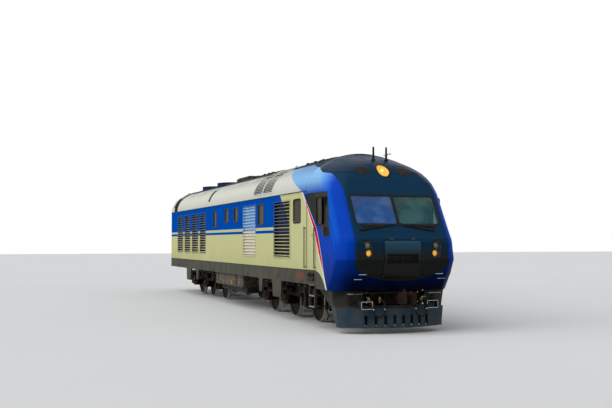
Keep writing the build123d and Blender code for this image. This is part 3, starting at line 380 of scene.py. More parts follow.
def body_finish(name, slot, worn, gloss=0.26, seams=True, shine=0.02):
    """Gloss paint in the body colours over slightly wavy sheet, with panel seams, and pale
    grey-green inside."""
    f = Finish(name, slot)
    _, s, h = f.axes
    base = f.mix(inside(f), livery(f), CABIN_GREY)
    tint, streaks, patches = weathered(f, base, worn)
    height = f.noise(1.3, 2.0, 0.4, (1, 1, 0.7)) * 1.2
    if seams:
        phase = (s / 1.52).math("FRACT")
        seam = abs(phase - 0.5).under(0.003, 0.003) * h.under(EAVES)
        tint = f.mix(seam * 0.14, tint, SOOT)
        height = height - seam * 0.5
    return f.shade(tint, gloss + 0.16 * patches + 0.2 * streaks, height, 0.006, shine=shine)


HATCH = "nose_hatch"


def hatch_finish(name, slot):
    """Mask paint of the nose hatch, bluish above as a painted sky reflection, near black inside its
    recess and along its rim.
    """
    f = Finish(name, slot)
    x, _, h = f.axes
    recess = abs(x).under(0.432, 0.008) * h.within(1.728, 1.972, 0.008)
    low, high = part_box(HATCH)
    rim = abs(x).over(float(high[0]) - 0.024).most(h.over(float(high[2]) - RAIL_Z - 0.024))
    rim = rim.most(h.under(float(low[2]) - RAIL_Z + 0.024))
    # Painted sky reflection: the hatch's upper part is bluish, grey below
    tint, streaks, patches = weathered(f, f.mix(h.under(2.05, 0.4), (48, 86, 110), MASK_LOW), 0.3)
    tint = f.mix(recess.most(rim * 0.8), tint, (8, 8, 9))
    return f.shade(tint, 0.3 + 0.2 * streaks, patches, shine=0.06)


def skirt_finish(name, slot):
    """Grey skirt paint with dust and runs, darker toward the front, and a patch of reddish
    primer low down behind each cab door."""
    f = Finish(name, slot)
    _, s, h = f.axes
    patches = f.noise(2.2, 6.0, 0.62)
    runs = f.noise(8.0, 4.0, 0.6, (1, 1, 0.12))
    blots = f.noise(14.0, 3.0, 0.6)
    primer = s.within(17.98, 18.55, 0.12) * h.within(1.27, 1.46, 0.08) * patches.over(0.3, 0.4)
    tint = f.coats(
        SKIRT_GREY,
        (s.over(17.5, 3.0) * 0.5, (48, 47, 40)),
        (patches.over(0.5, 0.35) * 0.3, DUST),
        (runs.over(0.6, 0.3) * 0.16, SOOT),
        (primer * 0.6, (126, 70, 58)),
        (h.under(0.9, 0.6) * patches * 0.6, MUD),
    )
    return f.shade(tint, 0.5 + 0.3 * patches, blots * 0.4 + patches, 0.003, shine=0.06)


def plain_paint(name, slot, colour, rough, dirt, rust, shaded_upper=None):
    """Work paint with dust in patches, dark oily runs and small rusty chips, and a darker
    colour above the pilot's plate as painted shade under the nose."""
    f = Finish(name, slot)
    h = f.axes[2]
    if shaded_upper:
        # Painted shade: a darker colour above the pilot's plate, under the nose
        colour = f.mix(h.over(0.62, 0.1), colour, shaded_upper)
    patches = f.noise(2.2, 6.0, 0.62)
    runs = f.noise(9.0, 4.0, 0.6, (1, 1, 0.14))
    chips = f.noise(38.0, 3.0, 0.6)
    tint = f.coats(
        colour,
        (patches.over(0.5, 0.35) * dirt, DUST),
        (runs.over(0.58, 0.2) * (0.55 * dirt), SOOT),
        (chips.over(0.68, 0.06) * rust, RUST),
        (h.under(0.7, 0.9) * patches.over(0.45, 0.4) * (0.5 * dirt), MUD),
    )
    rough = (rough + 0.25 * patches + 0.1 * chips).least(0.95)
    return f.shade(tint, rough, chips * 0.6 + patches, 0.003, shine=0.1)


def tank_finish(name, slot):
    """Tank paint pitted by ballast: pale and dark spots, dust, rust chips, near black low down."""
    f = Finish(name, slot)
    h = f.axes[2]
    spots = f.noise(19.0, 5.0, 0.7)
    patches = f.noise(3.0, 6.0, 0.62)
    tint = f.coats(
        (58, 54, 48),
        (spots.over(0.5, 0.16), (118, 112, 100)),
        (spots.over(0.66, 0.04) * 0.8, (182, 174, 160)),
        (patches.over(0.56, 0.2) * 0.5, (104, 82, 64)),
        # Near black below 0.72 m
        (h.under(0.72, 0.3) * 0.7, (26, 24, 21)),
    )
    return f.shade(tint, 0.6 + 0.3 * patches, spots, shine=0.15)


def bare_steel(name, slot, colour, rough, metal, rust):
    """Bare or cast metal with brown rust in patches and a fine grain."""
    f = Finish(name, slot)
    patches = f.noise(6.0, 6.0, 0.6)
    grain = f.noise(90.0, 2.0, 0.5)
    bloom = patches.over(0.5, 0.3) * rust
    rough = (rough + 0.4 * bloom + 0.12 * grain).least(0.95)
    tint = f.mix(bloom, colour, RUST)
    return f.shade(tint, rough, grain + patches, 0.0015, shine=0.15, metal=metal - 0.8 * bloom)


def wheel_finish(name, axle):
    """Wheelset: bright tread and flange by radius, brown dusty discs, darker axle."""
    f = Finish(name, "wheel_steel")
    _, s, h = f.axes
    radius = ((s - axle) ** 2.0 + (h - TREAD) ** 2.0) ** 0.5
    patches = f.noise(5.0, 6.0, 0.6)
    grain = f.noise(70.0, 3.0, 0.5)
    tread = radius.over(0.512, 0.006)
    tint = f.coats(
        # Near black dark steel, partly painted shade under the body
        (30, 27, 24),
        (patches.over(0.45, 0.4) * 0.4, MUD),
        (grain.over(0.62, 0.1) * 0.4, RUST),
        (radius.within(0.42, 0.5, 0.03) * 0.5, SOOT),
        (tread, (176, 172, 166)),
    )
    rough = 0.75 - 0.5 * tread + 0.1 * grain
    return f.shade(tint, rough, grain, 0.001, shine=0.15, metal=0.15 + 0.8 * tread)


def glass_finish(name, slot, colour, alpha, rough, streak=0.3):
    """Tinted glass with dust in its corners and faint wiped streaks."""
    f = Finish(name, slot)
    film = f.noise(3.0, 5.0, 0.6, (1, 1, 0.4))
    tint = f.mix(film.over(0.5, 0.4) * streak, colour, DUST)
    alpha = (alpha + 0.12 * film).least(1.0)
    return f.shade(tint, rough + 0.12 * film, ior=1.5, shine=0.15, alpha=alpha)


def lamp_finish(name, slot, colour, glow):
    """Lit lamp face: ribbed lens, its light cloudy and a little paler along the ribs."""
    f = Finish(name, slot)
    ribs = (f.axes[0] * 90.0).math("SINE") * 0.5 + 0.5
    film = f.noise(24.0, 3.0, 0.5)
    light = f.mix(ribs * 0.2, colour, (255, 236, 170))
    tint = f.mix(film * 0.25, colour, DUST)
    return f.shade(tint, 0.12 + 0.12 * film, ribs, 0.0015, glow=glow, light=light)


def rubber_finish(name, slot, rear=None):
    """Matt rubber with grey bloom and small pits, of another colour behind the cab."""
    f = Finish(name, slot)
    colour = (20, 20, 20)
    if rear:
        colour = f.mix(f.axes[1].under(17.9, 0.1), colour, rear)
    bloom = f.noise(11.0, 5.0, 0.6)
    pits = f.noise(140.0, 2.0, 0.5)
    tint = f.mix(bloom.over(0.52, 0.3) * 0.2, colour, (58, 56, 53))
    return f.shade(tint, 0.7 + 0.2 * bloom, pits, 0.0008, shine=0.2)


def louvre_finish(name, slot):
    """Slats in the body colours at their outer edges, paler on some louvres as painted
    highlight and sky reflection, near black further in as painted shade in the gaps, sooty in
    patches.
    """
    f = Finish(name, slot)
    x, s, h = f.axes
    side = abs(x)
    shut = s.within(12.3, 14.1)
    # Painted shade: the slats turn near black further in, in the louvre's gaps
    gap_shade = (side + 0.07 * shut).under(1.634, 0.02)
    # Painted highlight and sky reflection: pale cream below the band and pale blue on it, over the
    # shut louvre's slats and, less, the rear louvres'
    pale = f.mix(h.over(2.62, 0.02), (232, 226, 204), (160, 200, 236))
    rear = s.under(8.0, 0.1)
    colour = f.coats(
        livery(f),
        ((shut + 0.45 * rear) * side.under(1.66), pale),
        # Painted highlight: the front louvre's slats are made a little paler
        (s.over(15.0) * side.under(1.66) * 0.25, (208, 204, 184)),
    )
    tint, streaks, patches = weathered(f, colour, 0.8)
    tint = f.mix(0.3 * (1 - shut) * patches.over(0.3, 0.5), tint, SOOT)
    tint = f.mix(gap_shade, tint, (9, 9, 10))
    return f.shade(tint, 0.42 + 0.3 * streaks, patches, 0.003, shine=0.08)


def roof_louvre_finish(name, slot):
    """Slats on the roof's shoulder, off-white at their outer edges and black further in,
    by depth below the roof's two arcs, in an off-white frame with a middle post."""
    f = Finish(name, slot)
    x, s, h = f.axes
    post = s.under(13.7).most(s.over(15.65)).most(s.within(14.63, 14.72))
    bend = SHOULDER - ((abs(x) - SHOULDER_X) ** 2.0 + (h - EAVES) ** 2.0) ** 0.5
    crown = CROWN - (x**2.0 + (h - CROWN_LOW) ** 2.0) ** 0.5
    depth = bend + h.over(MEET_HEIGHT, 0.002) * (crown - bend)
    dust = f.noise(12.0, 5.0, 0.6)
    tint = f.coats(
        (12, 12, 12),
        (dust.over(0.55, 0.2) * 0.3, SOOT),
        (depth.under(0.014, 0.014) * 0.9, ROOF_WHITE),
        (post, ROOF_WHITE),
    )
    return f.shade(tint, 0.5 + 0.25 * dust, dust, 0.003)


def cloth_finish(name, slot, colour):
    """Woven seat cloth: two crossed threads a few millimetres apart, with worn paler places."""
    f = Finish(name, slot)
    x, s, h = f.axes
    weave = (x * 900.0).math("SINE") * ((s + h) * 900.0).math("SINE")
    worn = f.noise(7.0, 4.0, 0.6)
    tint = f.coats(
        colour,
        (weave * 0.25 + 0.25, (28, 34, 48)),
        (worn.over(0.58, 0.25) * 0.35, (112, 112, 108)),
    )
    return f.shade(tint, 0.85 + 0.1 * worn, weave + worn, 0.0012, sheen=0.3)


def plastic_finish(name, slot, colour, rough=0.5):
    """Moulded plastic with a fine pebble and rubbed shine."""
    f = Finish(name, slot)
    pebble = f.node("TexVoronoi", None, {"Vector": f.spot, "Scale": 420.0})
    rub = f.noise(5.0, 4.0, 0.6)
    tint = f.mix(rub.over(0.55, 0.3) * 0.25, colour, (120, 116, 108))
    return f.shade(tint, rough + 0.15 * pebble - 0.12 * rub, pebble, 0.0006)


def rail_finish(name, slot):
    """Rails and steps: dark worn paint by the doors, pale paint on the front's rails."""
    f = Finish(name, slot)
    worn = f.noise(26.0, 4.0, 0.6)
    tint = f.mix(f.axes[1].over(20.3, 0.05), (50, 48, 45), (168, 172, 172))
    tint = f.mix(worn.over(0.6, 0.12) * 0.6, tint, (128, 122, 112))
    return f.shade(tint, 0.4 + 0.25 * worn, worn, 0.001)


def screen_finish(name, slot):
    """Windscreen: the left pane bluish and the right one greenish, tints that are partly painted
    sky reflection, with pale painted cloud reflections, a cloudy film and wiped arcs above each
    wiper."""
    f = Finish(name, slot)
    x, _, h = f.axes
    film = f.noise(2.6, 5.0, 0.6, (1.0, 1.0, 1.4))
    cloud_reflection = f.noise(1.7, 3.0, 0.5, (1.0, 1.0, 1.6)).over(0.52, 0.2)
    reach = ((abs(x) - 0.6) ** 2.0 + (h - 2.66) ** 2.0) ** 0.5
    dusty = reach.over(0.62, 0.02) * film.over(0.35, 0.4)
    tint = f.coats(
        # Painted reflection: bluish and greenish pane tints, with pale sky clouds over them
        f.mix(x.over(0.0), (34, 90, 158), (20, 78, 86)),
        (cloud_reflection * 0.35, f.mix(x.over(0.0), (110, 150, 205), (92, 140, 132))),
        (dusty * 0.18, DUST),
    )
    alpha = (0.62 + 0.2 * film).least(1.0)
    return f.shade(tint, 0.05 + 0.1 * film, ior=1.5, shine=0.15, alpha=alpha)


def fine_mesh_finish(name, slot):
    """Dark metal with a woven pattern of bright wires."""
    f = Finish(name, slot)
    wires = (f.axes[0] * 260.0).math("SINE").most((f.axes[1] * 260.0).math("SINE"))
    tint = f.mix(wires.over(0.6, 0.3), (20, 20, 20), (120, 118, 112))
    return f.shade(tint, 0.55 + 0.1 * wires, wires, 0.002)


def tread_plate_finish(name, slot):
    """Walkway sheet with rows of slanted studs."""
    f = Finish(name, slot)
    x, s, _ = f.axes
    studs = ((x + s) * 160.0).math("SINE") * ((x - s) * 160.0).math("SINE")
    dirt = f.noise(3.0, 6.0, 0.6)
    tint = f.coats(
        (58, 58, 58),
        (studs.over(0.5, 0.3) * 0.5, (140, 138, 132)),
        (dirt.over(0.45, 0.3) * 0.6, SOOT),
    )
    return f.shade(tint, 0.5 + 0.3 * dirt, studs, 0.002)


# Paints in the body colours
body_gloss = body_finish("body_gloss_paint", "body_paint", 0.8, shine=0.0)
nose_gloss = body_finish("nose_gloss_paint", "body_paint", 0.12, 0.2, seams=False)
roof_satin = body_finish("roof_satin_paint", "roof_paint", 1.1, 0.4)
hatch_gloss = hatch_finish("hatch_mask_paint", "mask_paint")
skirt_paint = skirt_finish("skirt_paint", "skirt_paint")
louvre_paint = louvre_finish("side_louvre_paint", "louvre_black")
roof_louvre_paint = roof_louvre_finish("roof_louvre_paint", "louvre_black")
tank_paint = tank_finish("fuel_tank_paint", "tank_paint")
rail_paint = rail_finish("handrail_paint", "skirt_paint")
# Plain paints: colour, roughness, dirt and rust
roof_black = plain_paint("roof_black_paint", "roof_dark", (34, 36, 40), 0.6, 0.3, 0.12)
gutter_paint = plain_paint("gutter_paint", "body_paint", (58, 62, 68), 0.45, 0.4, 0.2)
black_paint = plain_paint("black_satin_paint", "louvre_black", (16, 16, 17), 0.42, 0.2, 0.05)
# Pilot: blue-grey plate, with painted shade above it under the nose
pilot_paint = plain_paint(
    "pilot_paint", "pilot_paint", (42, 68, 84), 0.45, 0.3, 0.12, shaded_upper=(34, 40, 40)
)
# Underframe and bogies: dark paint made near black, partly painted shade under the body
frame_paint = plain_paint("underframe_paint", "frame_paint", (13, 13, 13), 0.65, 0.15, 0.1)
bogie_paint = plain_paint("bogie_paint", "bogie_paint", (20, 19, 17), 0.62, 0.2, 0.15)
cabin_paint = plain_paint("cabin_paint", "cabin_paint", CABIN_GREY, 0.5, 0.15, 0.03)
white_paint = plain_paint("step_edge_white", "roof_paint", (222, 222, 214), 0.4, 0.25, 0.1)
# Metals: colour, roughness, metallic share and rust
cast_dark = bare_steel("dark_casting", "cast_dark", (24, 22, 20), 0.6, 0.3, 0.18)
# Coupler casting near black, partly painted shade under the nose
coupler_cast = bare_steel("coupler_casting", "cast_dark", (20, 19, 18), 0.5, 0.3, 0.15)
bright_steel = bare_steel("bright_steel", "wheel_steel", (176, 174, 170), 0.25, 0.95, 0.15)
spring_steel = bare_steel("spring_steel", "cast_dark", (40, 37, 33), 0.5, 0.4, 0.3)
brass_metal = bare_steel("worn_brass", "cast_dark", (176, 138, 74), 0.35, 0.9, 0.15)
fan_alloy = bare_steel("fan_alloy", "fan_metal", (150, 152, 154), 0.4, 0.8, 0.1)
sooty_steel = bare_steel("sooty_steel", "louvre_black", (30, 27, 25), 0.8, 0.2, 0.3)
# Glass and lamps: colour, then opacity and roughness, or glow
screen_glass = screen_finish("windscreen_glass", "clear_glass")
body_glass = glass_finish("body_window_glass", "clear_glass", (56, 50, 30), 0.9, 0.08)
lamp_clear = glass_finish("lamp_cover_glass", "lamp_glass", (70, 82, 88), 0.08, 0.03, 0.1)
head_glow = lamp_finish("headlamp_light", "lamp_glass", (248, 178, 36), 0.8)
bulb_glow = lamp_finish("headlamp_bulb_light", "lamp_glass", (255, 226, 120), 1.3)
amber_glow = lamp_finish("corner_lamp_light", "lamp_glass", (252, 172, 34), 1.0)
display_glow = lamp_finish("display_face", "lamp_glass", (40, 74, 90), 0.25)
white_glow = lamp_finish("marker_light", "lamp_glass", (150, 164, 166), 0.12)
red_lens = lamp_finish("red_lens", "lamp_glass", (150, 18, 14), 0.15)
# Rubber, plastic, cloth and sheet
black_rubber = rubber_finish("black_rubber", "black_rubber")
window_rubber = rubber_finish("window_rubber", "black_rubber", rear=(62, 57, 42))
desk_plastic = plastic_finish("desk_plastic", "desk_plastic", (92, 96, 98))
dark_plastic = plastic_finish("dark_plastic", "desk_plastic", (24, 25, 26), 0.35)
mirror_shell = plastic_finish("mirror_shell", "mirror_shell", (42, 28, 22), 0.42)
seat_cloth = cloth_finish("seat_cloth", "seat_cloth", (52, 60, 80))
wire_mesh = fine_mesh_finish("fan_wire_mesh", "louvre_black")
walk_sheet = tread_plate_finish("walkway_sheet", "roof_dark")


def dress(finish, *nodes):
    """Give CAD nodes a finish."""
    for name in nodes:
        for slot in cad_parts[name].material_slots:
            slot.material = finish.material


def sided(name):
    """A node's left and right names."""
    return name + "_left", name + "_right"


dress(body_gloss, *sided("side_wall"), *sided("cab_door"), "end_wall", "end_door")
dress(nose_gloss, "cab_shell")
dress(hatch_gloss, "nose_hatch")
dress(roof_satin, "roof_rear", "roof_middle", "roof_front")
dress(gutter_paint, "rain_gutters")
dress(louvre_paint, *sided("side_louvres"))
dress(roof_louvre_paint, *sided("roof_louvre"))
dress(roof_black, "roof_covers")
dress(black_paint, "wipers", "fan_guards", "roof_aerials", "lamp_housings")
dress(skirt_paint, *sided("skirt"), "skirt_pillars")
dress(pilot_paint, "pilot")
dress(rail_paint, "rails_and_steps")
dress(frame_paint, "underframe", "pivots_and_draft_boxes")
dress(tank_paint, "fuel_tank")
dress(cabin_paint, "bulkhead")
dress(cast_dark, "engine_block")
dress(coupler_cast, "coupler_front", "coupler_rear")
dress(fan_alloy, "cooling_fan_1", "cooling_fan_2")
dress(screen_glass, "windscreen_glass")
dress(body_glass, *sided("window_glass"))
dress(lamp_clear, "lamp_glasses")
dress(black_rubber, "windscreen_frame", "gangway", "brake_hoses")
dress(window_rubber, "window_frames")
dress(desk_plastic, "cab_desk")
dress(seat_cloth, "cab_seats")
dress(mirror_shell, "mirrors")
for end, station in BOGIES.items():
    dress(bogie_paint, "bogie_frame_" + end)
    dress(cast_dark, "axle_boxes_" + end, "traction_motors_" + end, "brake_gear_" + end)
    for number, offset in enumerate(AXLES, 1):
        name = end + "_" + str(number)
        dress(wheel_finish("wheel_steel_" + name, station + offset), "wheelset_" + name)


# Shapes: arrays of points and of four-cornered faces


class Shape:
    """Points and faces of closed surfaces."""

    def __init__(self, points, faces):
        self.points = points.reshape(-1, 3)
        self.faces = faces.reshape(-1, 4)

    def __add__(self, other):
        return total([self, other])

    def both(self):
        """The shape and its mirror image, whose faces are turned back outward."""
        return self + Shape(self.points * (-1.0, 1.0, 1.0), self.faces[:, ::-1])

    def repeated(self, offsets):
        """Copies at a list of X, station and height offsets."""
        steps = np.asarray(offsets, float) * (1.0, -1.0, 1.0)
        shift = np.arange(len(steps))[:, None, None] * len(self.points)
        return Shape(self.points + steps[:, None], self.faces + shift)

    def along(self, stations):
        """Copies at a list of station offsets."""
        return self.repeated([(0, s, 0) for s in stations])


def total(shapes):
    """All shapes of a list as one."""
    starts = np.cumsum([0] + [len(shape.points) for shape in shapes])
    faces = [shape.faces + start for shape, start in zip(shapes, starts)]
    return Shape(np.vstack([shape.points for shape in shapes]), np.vstack(faces))


def circle(count):
    """Angles of evenly spaced points round a circle."""
    return np.arange(count) * 2 * math.pi / count


def bulge(wave, power):
    """A sine or cosine raised to a power with its sign kept, as a superellipse has it."""
    return np.sign(wave) * np.abs(wave) ** power


def skin(grid, ring=False):
    """Closed surface through a grid of points whose columns, an even number, go round it.
    Each end row is filled by strips between the columns that face each other, unless the
    rows are a ring. The volume under the faces, summed as corner triple products, is made
    positive, so that they point out."""
    rows, columns = grid.shape[:2]
    row = np.arange(rows if ring else rows - 1)[:, None]
    here, below = row * columns, (row + 1) % rows * columns
    c = np.arange(columns)[None, :]
    n = (c + 1) % columns
    corners = np.broadcast_arrays(here + c, here + n, below + n, below + c)
    faces = np.stack(corners, -1).reshape(-1, 4)
    if not ring:
        j = np.arange(columns // 2 - 1)
        fill = np.stack([j, columns - 1 - j, columns - 2 - j, j + 1], -1)
        faces = np.vstack([faces, fill, fill[:, ::-1] + (rows - 1) * columns])
    points = grid.reshape(-1, 3)
    p, q, r, t = (points[faces[:, k]] - points.mean(0) for k in range(4))
    volume = (p * np.cross(q, r)).sum() + (p * np.cross(r, t)).sum()
    return Shape(points, faces if volume > 0 else faces[:, ::-1])


def axes_across(way):
    """A direction as a unit vector, and two more square to it and to each other."""
    way = np.asarray(way, float) / np.linalg.norm(way)
    u = np.cross(way, UP if abs(way[2]) < 0.9 else (1, 0, 0))
    u /= np.linalg.norm(u)
    return way, u, np.cross(way, u)


def lathe(profile, foot, way, sides=24):
    """Turned body: each profile point, a distance along the axis and a radius, is swept
    round a circle in the plane across the axis."""
    way, u, v = axes_across(way)
    angle = circle(sides)[:, None]
    along, radius = np.asarray(profile, float).T[..., None, None]
    return skin(foot + along * way + radius * (np.cos(angle) * u + np.sin(angle) * v))


def ring(foot, way, radius, wire, sides=26, around=6):
    """Ring of round wire: a small circle carried round a large one."""
    way, u, v = axes_across(way)
    turn, small = circle(sides)[:, None, None], circle(around)[:, None]
    out = np.cos(turn) * u + np.sin(turn) * v
    return skin(foot + (radius + wire * np.cos(small)) * out + wire * np.sin(small) * way, True)


def bolt(foot, way, radius, rise):
    """Six-sided bolt head on its washer."""
    washer = radius * 1.4
    head = [(0.002, radius), (rise, radius), (rise + 0.001, radius * 0.8)]
    return lathe([(-0.003, washer), (0.0015, washer), *head], foot, way, 6)


def bolt_ring(foot, way, reach, count, radius, rise):
    """Bolts evenly spaced on a circle across a direction."""
    way, u, v = axes_across(way)
    places = [foot + reach * (math.cos(a) * u + math.sin(a) * v) for a in circle(count)]
    return total([bolt(place, way, radius, rise) for place in places])


def rounded_path(corners, radius, steps=5):
    """Path through corners, each turn a quadratic curve that leaves and meets its runs at
    the same distance from the corner."""
    middle = corners[1:-1]
    ends = []
    for other in (corners[:-2], corners[2:]):
        way = other - middle
        length = np.linalg.norm(way, axis=1)[:, None]
        ends.append((middle + way / length * np.minimum(radius, 0.45 * length))[:, None])
    t = np.linspace(0, 1, steps)[:, None]
    turns = (1 - t) ** 2 * ends[0] + 2 * t * (1 - t) * middle[:, None] + t**2 * ends[1]
    return np.vstack([corners[:1], turns.reshape(-1, 3), corners[-1:]])


def tube(path, way, radius, sides, ring=False):
    """Round bar along a path: at each point a circle lies across the path's direction,
    its first axis square to a fixed helper direction."""
    way = way / np.linalg.norm(way, axis=1)[:, None]
    u = np.cross(way, np.eye(3)[np.argmin(np.abs(way).max(0))])
    u /= np.linalg.norm(u, axis=1)[:, None]
    v = np.cross(way, u)
    angle = circle(sides)[:, None]
    rim = np.cos(angle) * u[:, None] + np.sin(angle) * v[:, None]
    return skin(path[:, None] + rim * np.reshape(radius, (-1, 1, 1)), ring)


def pipe(path, radius, sides):
    """Round bar along an open path."""
    return tube(path, np.gradient(path, axis=0), radius, sides)


def closed_pipe(path, radius, sides=8):
    """Round bar along a closed path."""
    return tube(path, np.roll(path, -1, 0) - np.roll(path, 1, 0), radius, sides, True)


def run(corners, radius, bend=0.02, sides=8):
    """Bar through corners given as X, station and height, with rounded bends."""
    points = at(*np.transpose(corners))
    return pipe(rounded_path(points, bend) if len(points) > 2 else points, radius, sides)


def coil(x, station, low, high, radius, wire, turns):
    """Coil spring: a circle of the coil's radius climbs evenly, with flat end turns."""
    t = np.linspace(0, 1, int(turns * 14) + 1)
    angle = t * turns * 2 * math.pi
    rise = low + wire + (high - low - 2 * wire) * np.clip((t - 0.1) / 0.8, 0, 1)
    path = np.stack([radius * np.cos(angle), radius * np.sin(angle), rise], -1)
    return pipe(at(x, station, 0) + path, wire, 8)


# Corners of a brick's outline: the angle on the corner's circle and the corner's signs
BRICK_TURN = np.radians([0, 45, 90, 90, 135, 180, 180, 225, 270, 270, 315, 360])
BRICK_X = np.repeat([1, -1, 1], [3, 6, 3])
BRICK_Y = np.repeat([1, -1], [6, 6])
BRICK_LEAN = np.radians([20, 50, 90, 90, 50, 20])[:, None]
BRICK_LEVEL = np.repeat([-1, 1], [3, 3])[:, None]


def brick(low, high, edge):
    """Block between two corners given as X, station and height. Its level outline is a
    rectangle with quarter-circle corners, drawn in toward the top and bottom by a circle."""
    a, b = at(*low), at(*high)
    half = np.abs(b - a) / 2
    edge = min(edge, 0.45 * half.min())
    depth = np.where(BRICK_LEAN < 0.4, 0, edge * (1 - np.cos(BRICK_LEAN)))
    reach = edge * np.sin(BRICK_LEAN)
    x = BRICK_X * (half[0] - edge) + np.cos(BRICK_TURN) * reach
    y = BRICK_Y * (half[1] - edge) + np.sin(BRICK_TURN) * reach
    z = BRICK_LEVEL * (half[2] - depth) + 0 * x
    return skin(np.stack([x, y, z], -1) + (a + b) / 2)


def roof_sheet(stations, sides, lift, thick, columns):
    """Sheet that follows the roof: over evenly spaced X its top and underside stand off
    the roof's outline by fixed lifts, and it is drawn straight along the stations."""
    x = np.linspace(*sides, columns)
    under = roof_height(x) + lift
    loop_x, loop_h = np.concatenate([x, x[::-1]]), np.concatenate([under + thick, under[::-1]])
    return skin(np.array([at(loop_x, s, loop_h) for s in stations]))


def rounded_loop(sides, heights, corner, station):
    """Closed path round an upright rectangle with quarter-circle corners."""
    x = np.array([sides[1] - corner, sides[0] + corner, sides[0] + corner, sides[1] - corner])
    h = np.repeat([heights[1] - corner, heights[0] + corner], 2)
    angle = np.linspace(0, math.pi / 2, 6) + np.arange(4)[:, None] * math.pi / 2
    across = (x[:, None] + corner * np.cos(angle)).ravel()
    return at(across, station, (h[:, None] + corner * np.sin(angle)).ravel())


def joined(shapes):
    """One shape of a shape or a list of them."""
    return total(shapes) if isinstance(shapes, list) else shapes


def piece(name, shapes, finish, body="body", crease=38):
    """Scene object of a shape or a list of them, in its finish, riding on a body."""
    shape = joined(shapes)
    mesh = bpy.data.meshes.new(name)
    count = len(shape.faces)
    mesh.vertices.add(len(shape.points))
    mesh.vertices.foreach_set("co", shape.points.astype(np.float32).ravel())
    mesh.loops.add(4 * count)
    mesh.loops.foreach_set("vertex_index", shape.faces.astype(np.int32).ravel())
    mesh.polygons.add(count)
    mesh.polygons.foreach_set("loop_start", np.arange(0, 4 * count, 4, dtype=np.int32))
    mesh.update(calc_edges=True)
    mesh.polygons.foreach_set("use_smooth", np.ones(count, bool))
    mesh.set_sharp_from_angle(angle=math.radians(crease))
    mesh.materials.append(finish.material)
    obj = link(name, mesh)
    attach(obj, body)
    return obj


def pair(name, shapes, finish, body="body"):
    """Scene object of shapes on the left side and their mirror images on the right."""
    piece(name, joined(shapes).both(), finish, body)


# Nose outline, columns height, setback behind the nose's tip, corner's reach across and back
NOSE_ROWS = np.array(
    [
        (1.044, 0.370, 0.520, 0.840),
        (1.472, 0.120, 0.500, 0.680),
        (1.822, 0.0, 0.480, 0.560),
        (2.252, 0.015, 0.470, 0.760),
        (2.352, 0.045, 0.460, 0.800),
        (2.452, 0.105, 0.460, 0.840),
        (3.532, 0.726, 0.480, 0.970),
        (3.640, 0.796, 0.510, 1.000),
        (3.822, 0.905, 0.580, 1.040),
        (3.972, 1.010, 0.680, 1.060),
        (4.112, 1.120, 0.780, 1.080),
        (4.212, 1.235, 0.880, 1.060),
        (4.297, 1.365, 0.930, 1.000),
        (4.372, 1.520, 0.930, 0.900),
        (4.437, 1.690, 0.860, 0.780),
        (4.502, 1.900, 0.740, 0.520),
        (4.572, 2.160, 0.500, 0.280),
        (4.638, 2.350, 0.300, 0.110),
        (4.682, 2.450, 0.180, 0.040),
    ]
)


def half_section(height):
    """Half width of the body's cross-section at a height."""
    rise = np.clip(height - EAVES, 0, SHOULDER)
    outer = SHOULDER_X + np.sqrt(SHOULDER**2 - rise**2)
    inner = np.sqrt(np.maximum(CROWN**2 - (height - CROWN_LOW) ** 2, 0))
    return np.where(height < MEET_HEIGHT, outer, inner)


def nose_skin(x, height):
    """Station of the nose's skin: its flat front, falling back at the corners along
    quarter ellipses whose reaches are read between the nose's rows."""
    own, *columns = NOSE_ROWS.T
    setback, across, back = (np.interp(height, own, column) for column in columns)
    turn = ((np.abs(x) - (half_section(height) - across)) / across).clip(0, 1)
    return NOSE - setback - back * (1 - np.sqrt(1 - turn**2))


def nose_points(x, height, lift):
    """Points a little forward of the nose's skin."""
    return at(x, nose_skin(x, height) + lift, height)


def nose_plate(sides, heights, lift, thick, columns=3, rows=3):
    """Plate on the nose whose outer and inner faces stand forward of the skin by fixed
    distances, over evenly spaced X and heights with the nose's own rows among them."""
    own = NOSE_ROWS[:, 0]
    own = own[(own > heights[0]) & (own < heights[1])]
    h = np.unique(np.concatenate([np.linspace(*heights, rows), own]))
    loops = [
        np.vstack([nose_points(x, h, lift + thick), nose_points(x, h, lift)[::-1]])
        for x in np.linspace(*sides, columns)
    ]
    return skin(np.array(loops))


def bowed_station(x, middle, reach, bow):
    """Station at X of a circle through a bowed plate's middle and, that far across and
    back, its corners."""
    radius = (reach**2 + bow**2) / (2 * bow)
    return middle - radius + np.sqrt(radius**2 - np.asarray(x) ** 2)


# Stage


def light_paths(f):
    """Signals of camera, transmission and glossy rays."""
    seen = f.node("LightPath", out="Is Camera Ray")
    outputs = seen.socket.node.outputs
    return seen, Signal(f, outputs["Is Transmission Ray"]), Signal(f, outputs["Is Glossy Ray"])


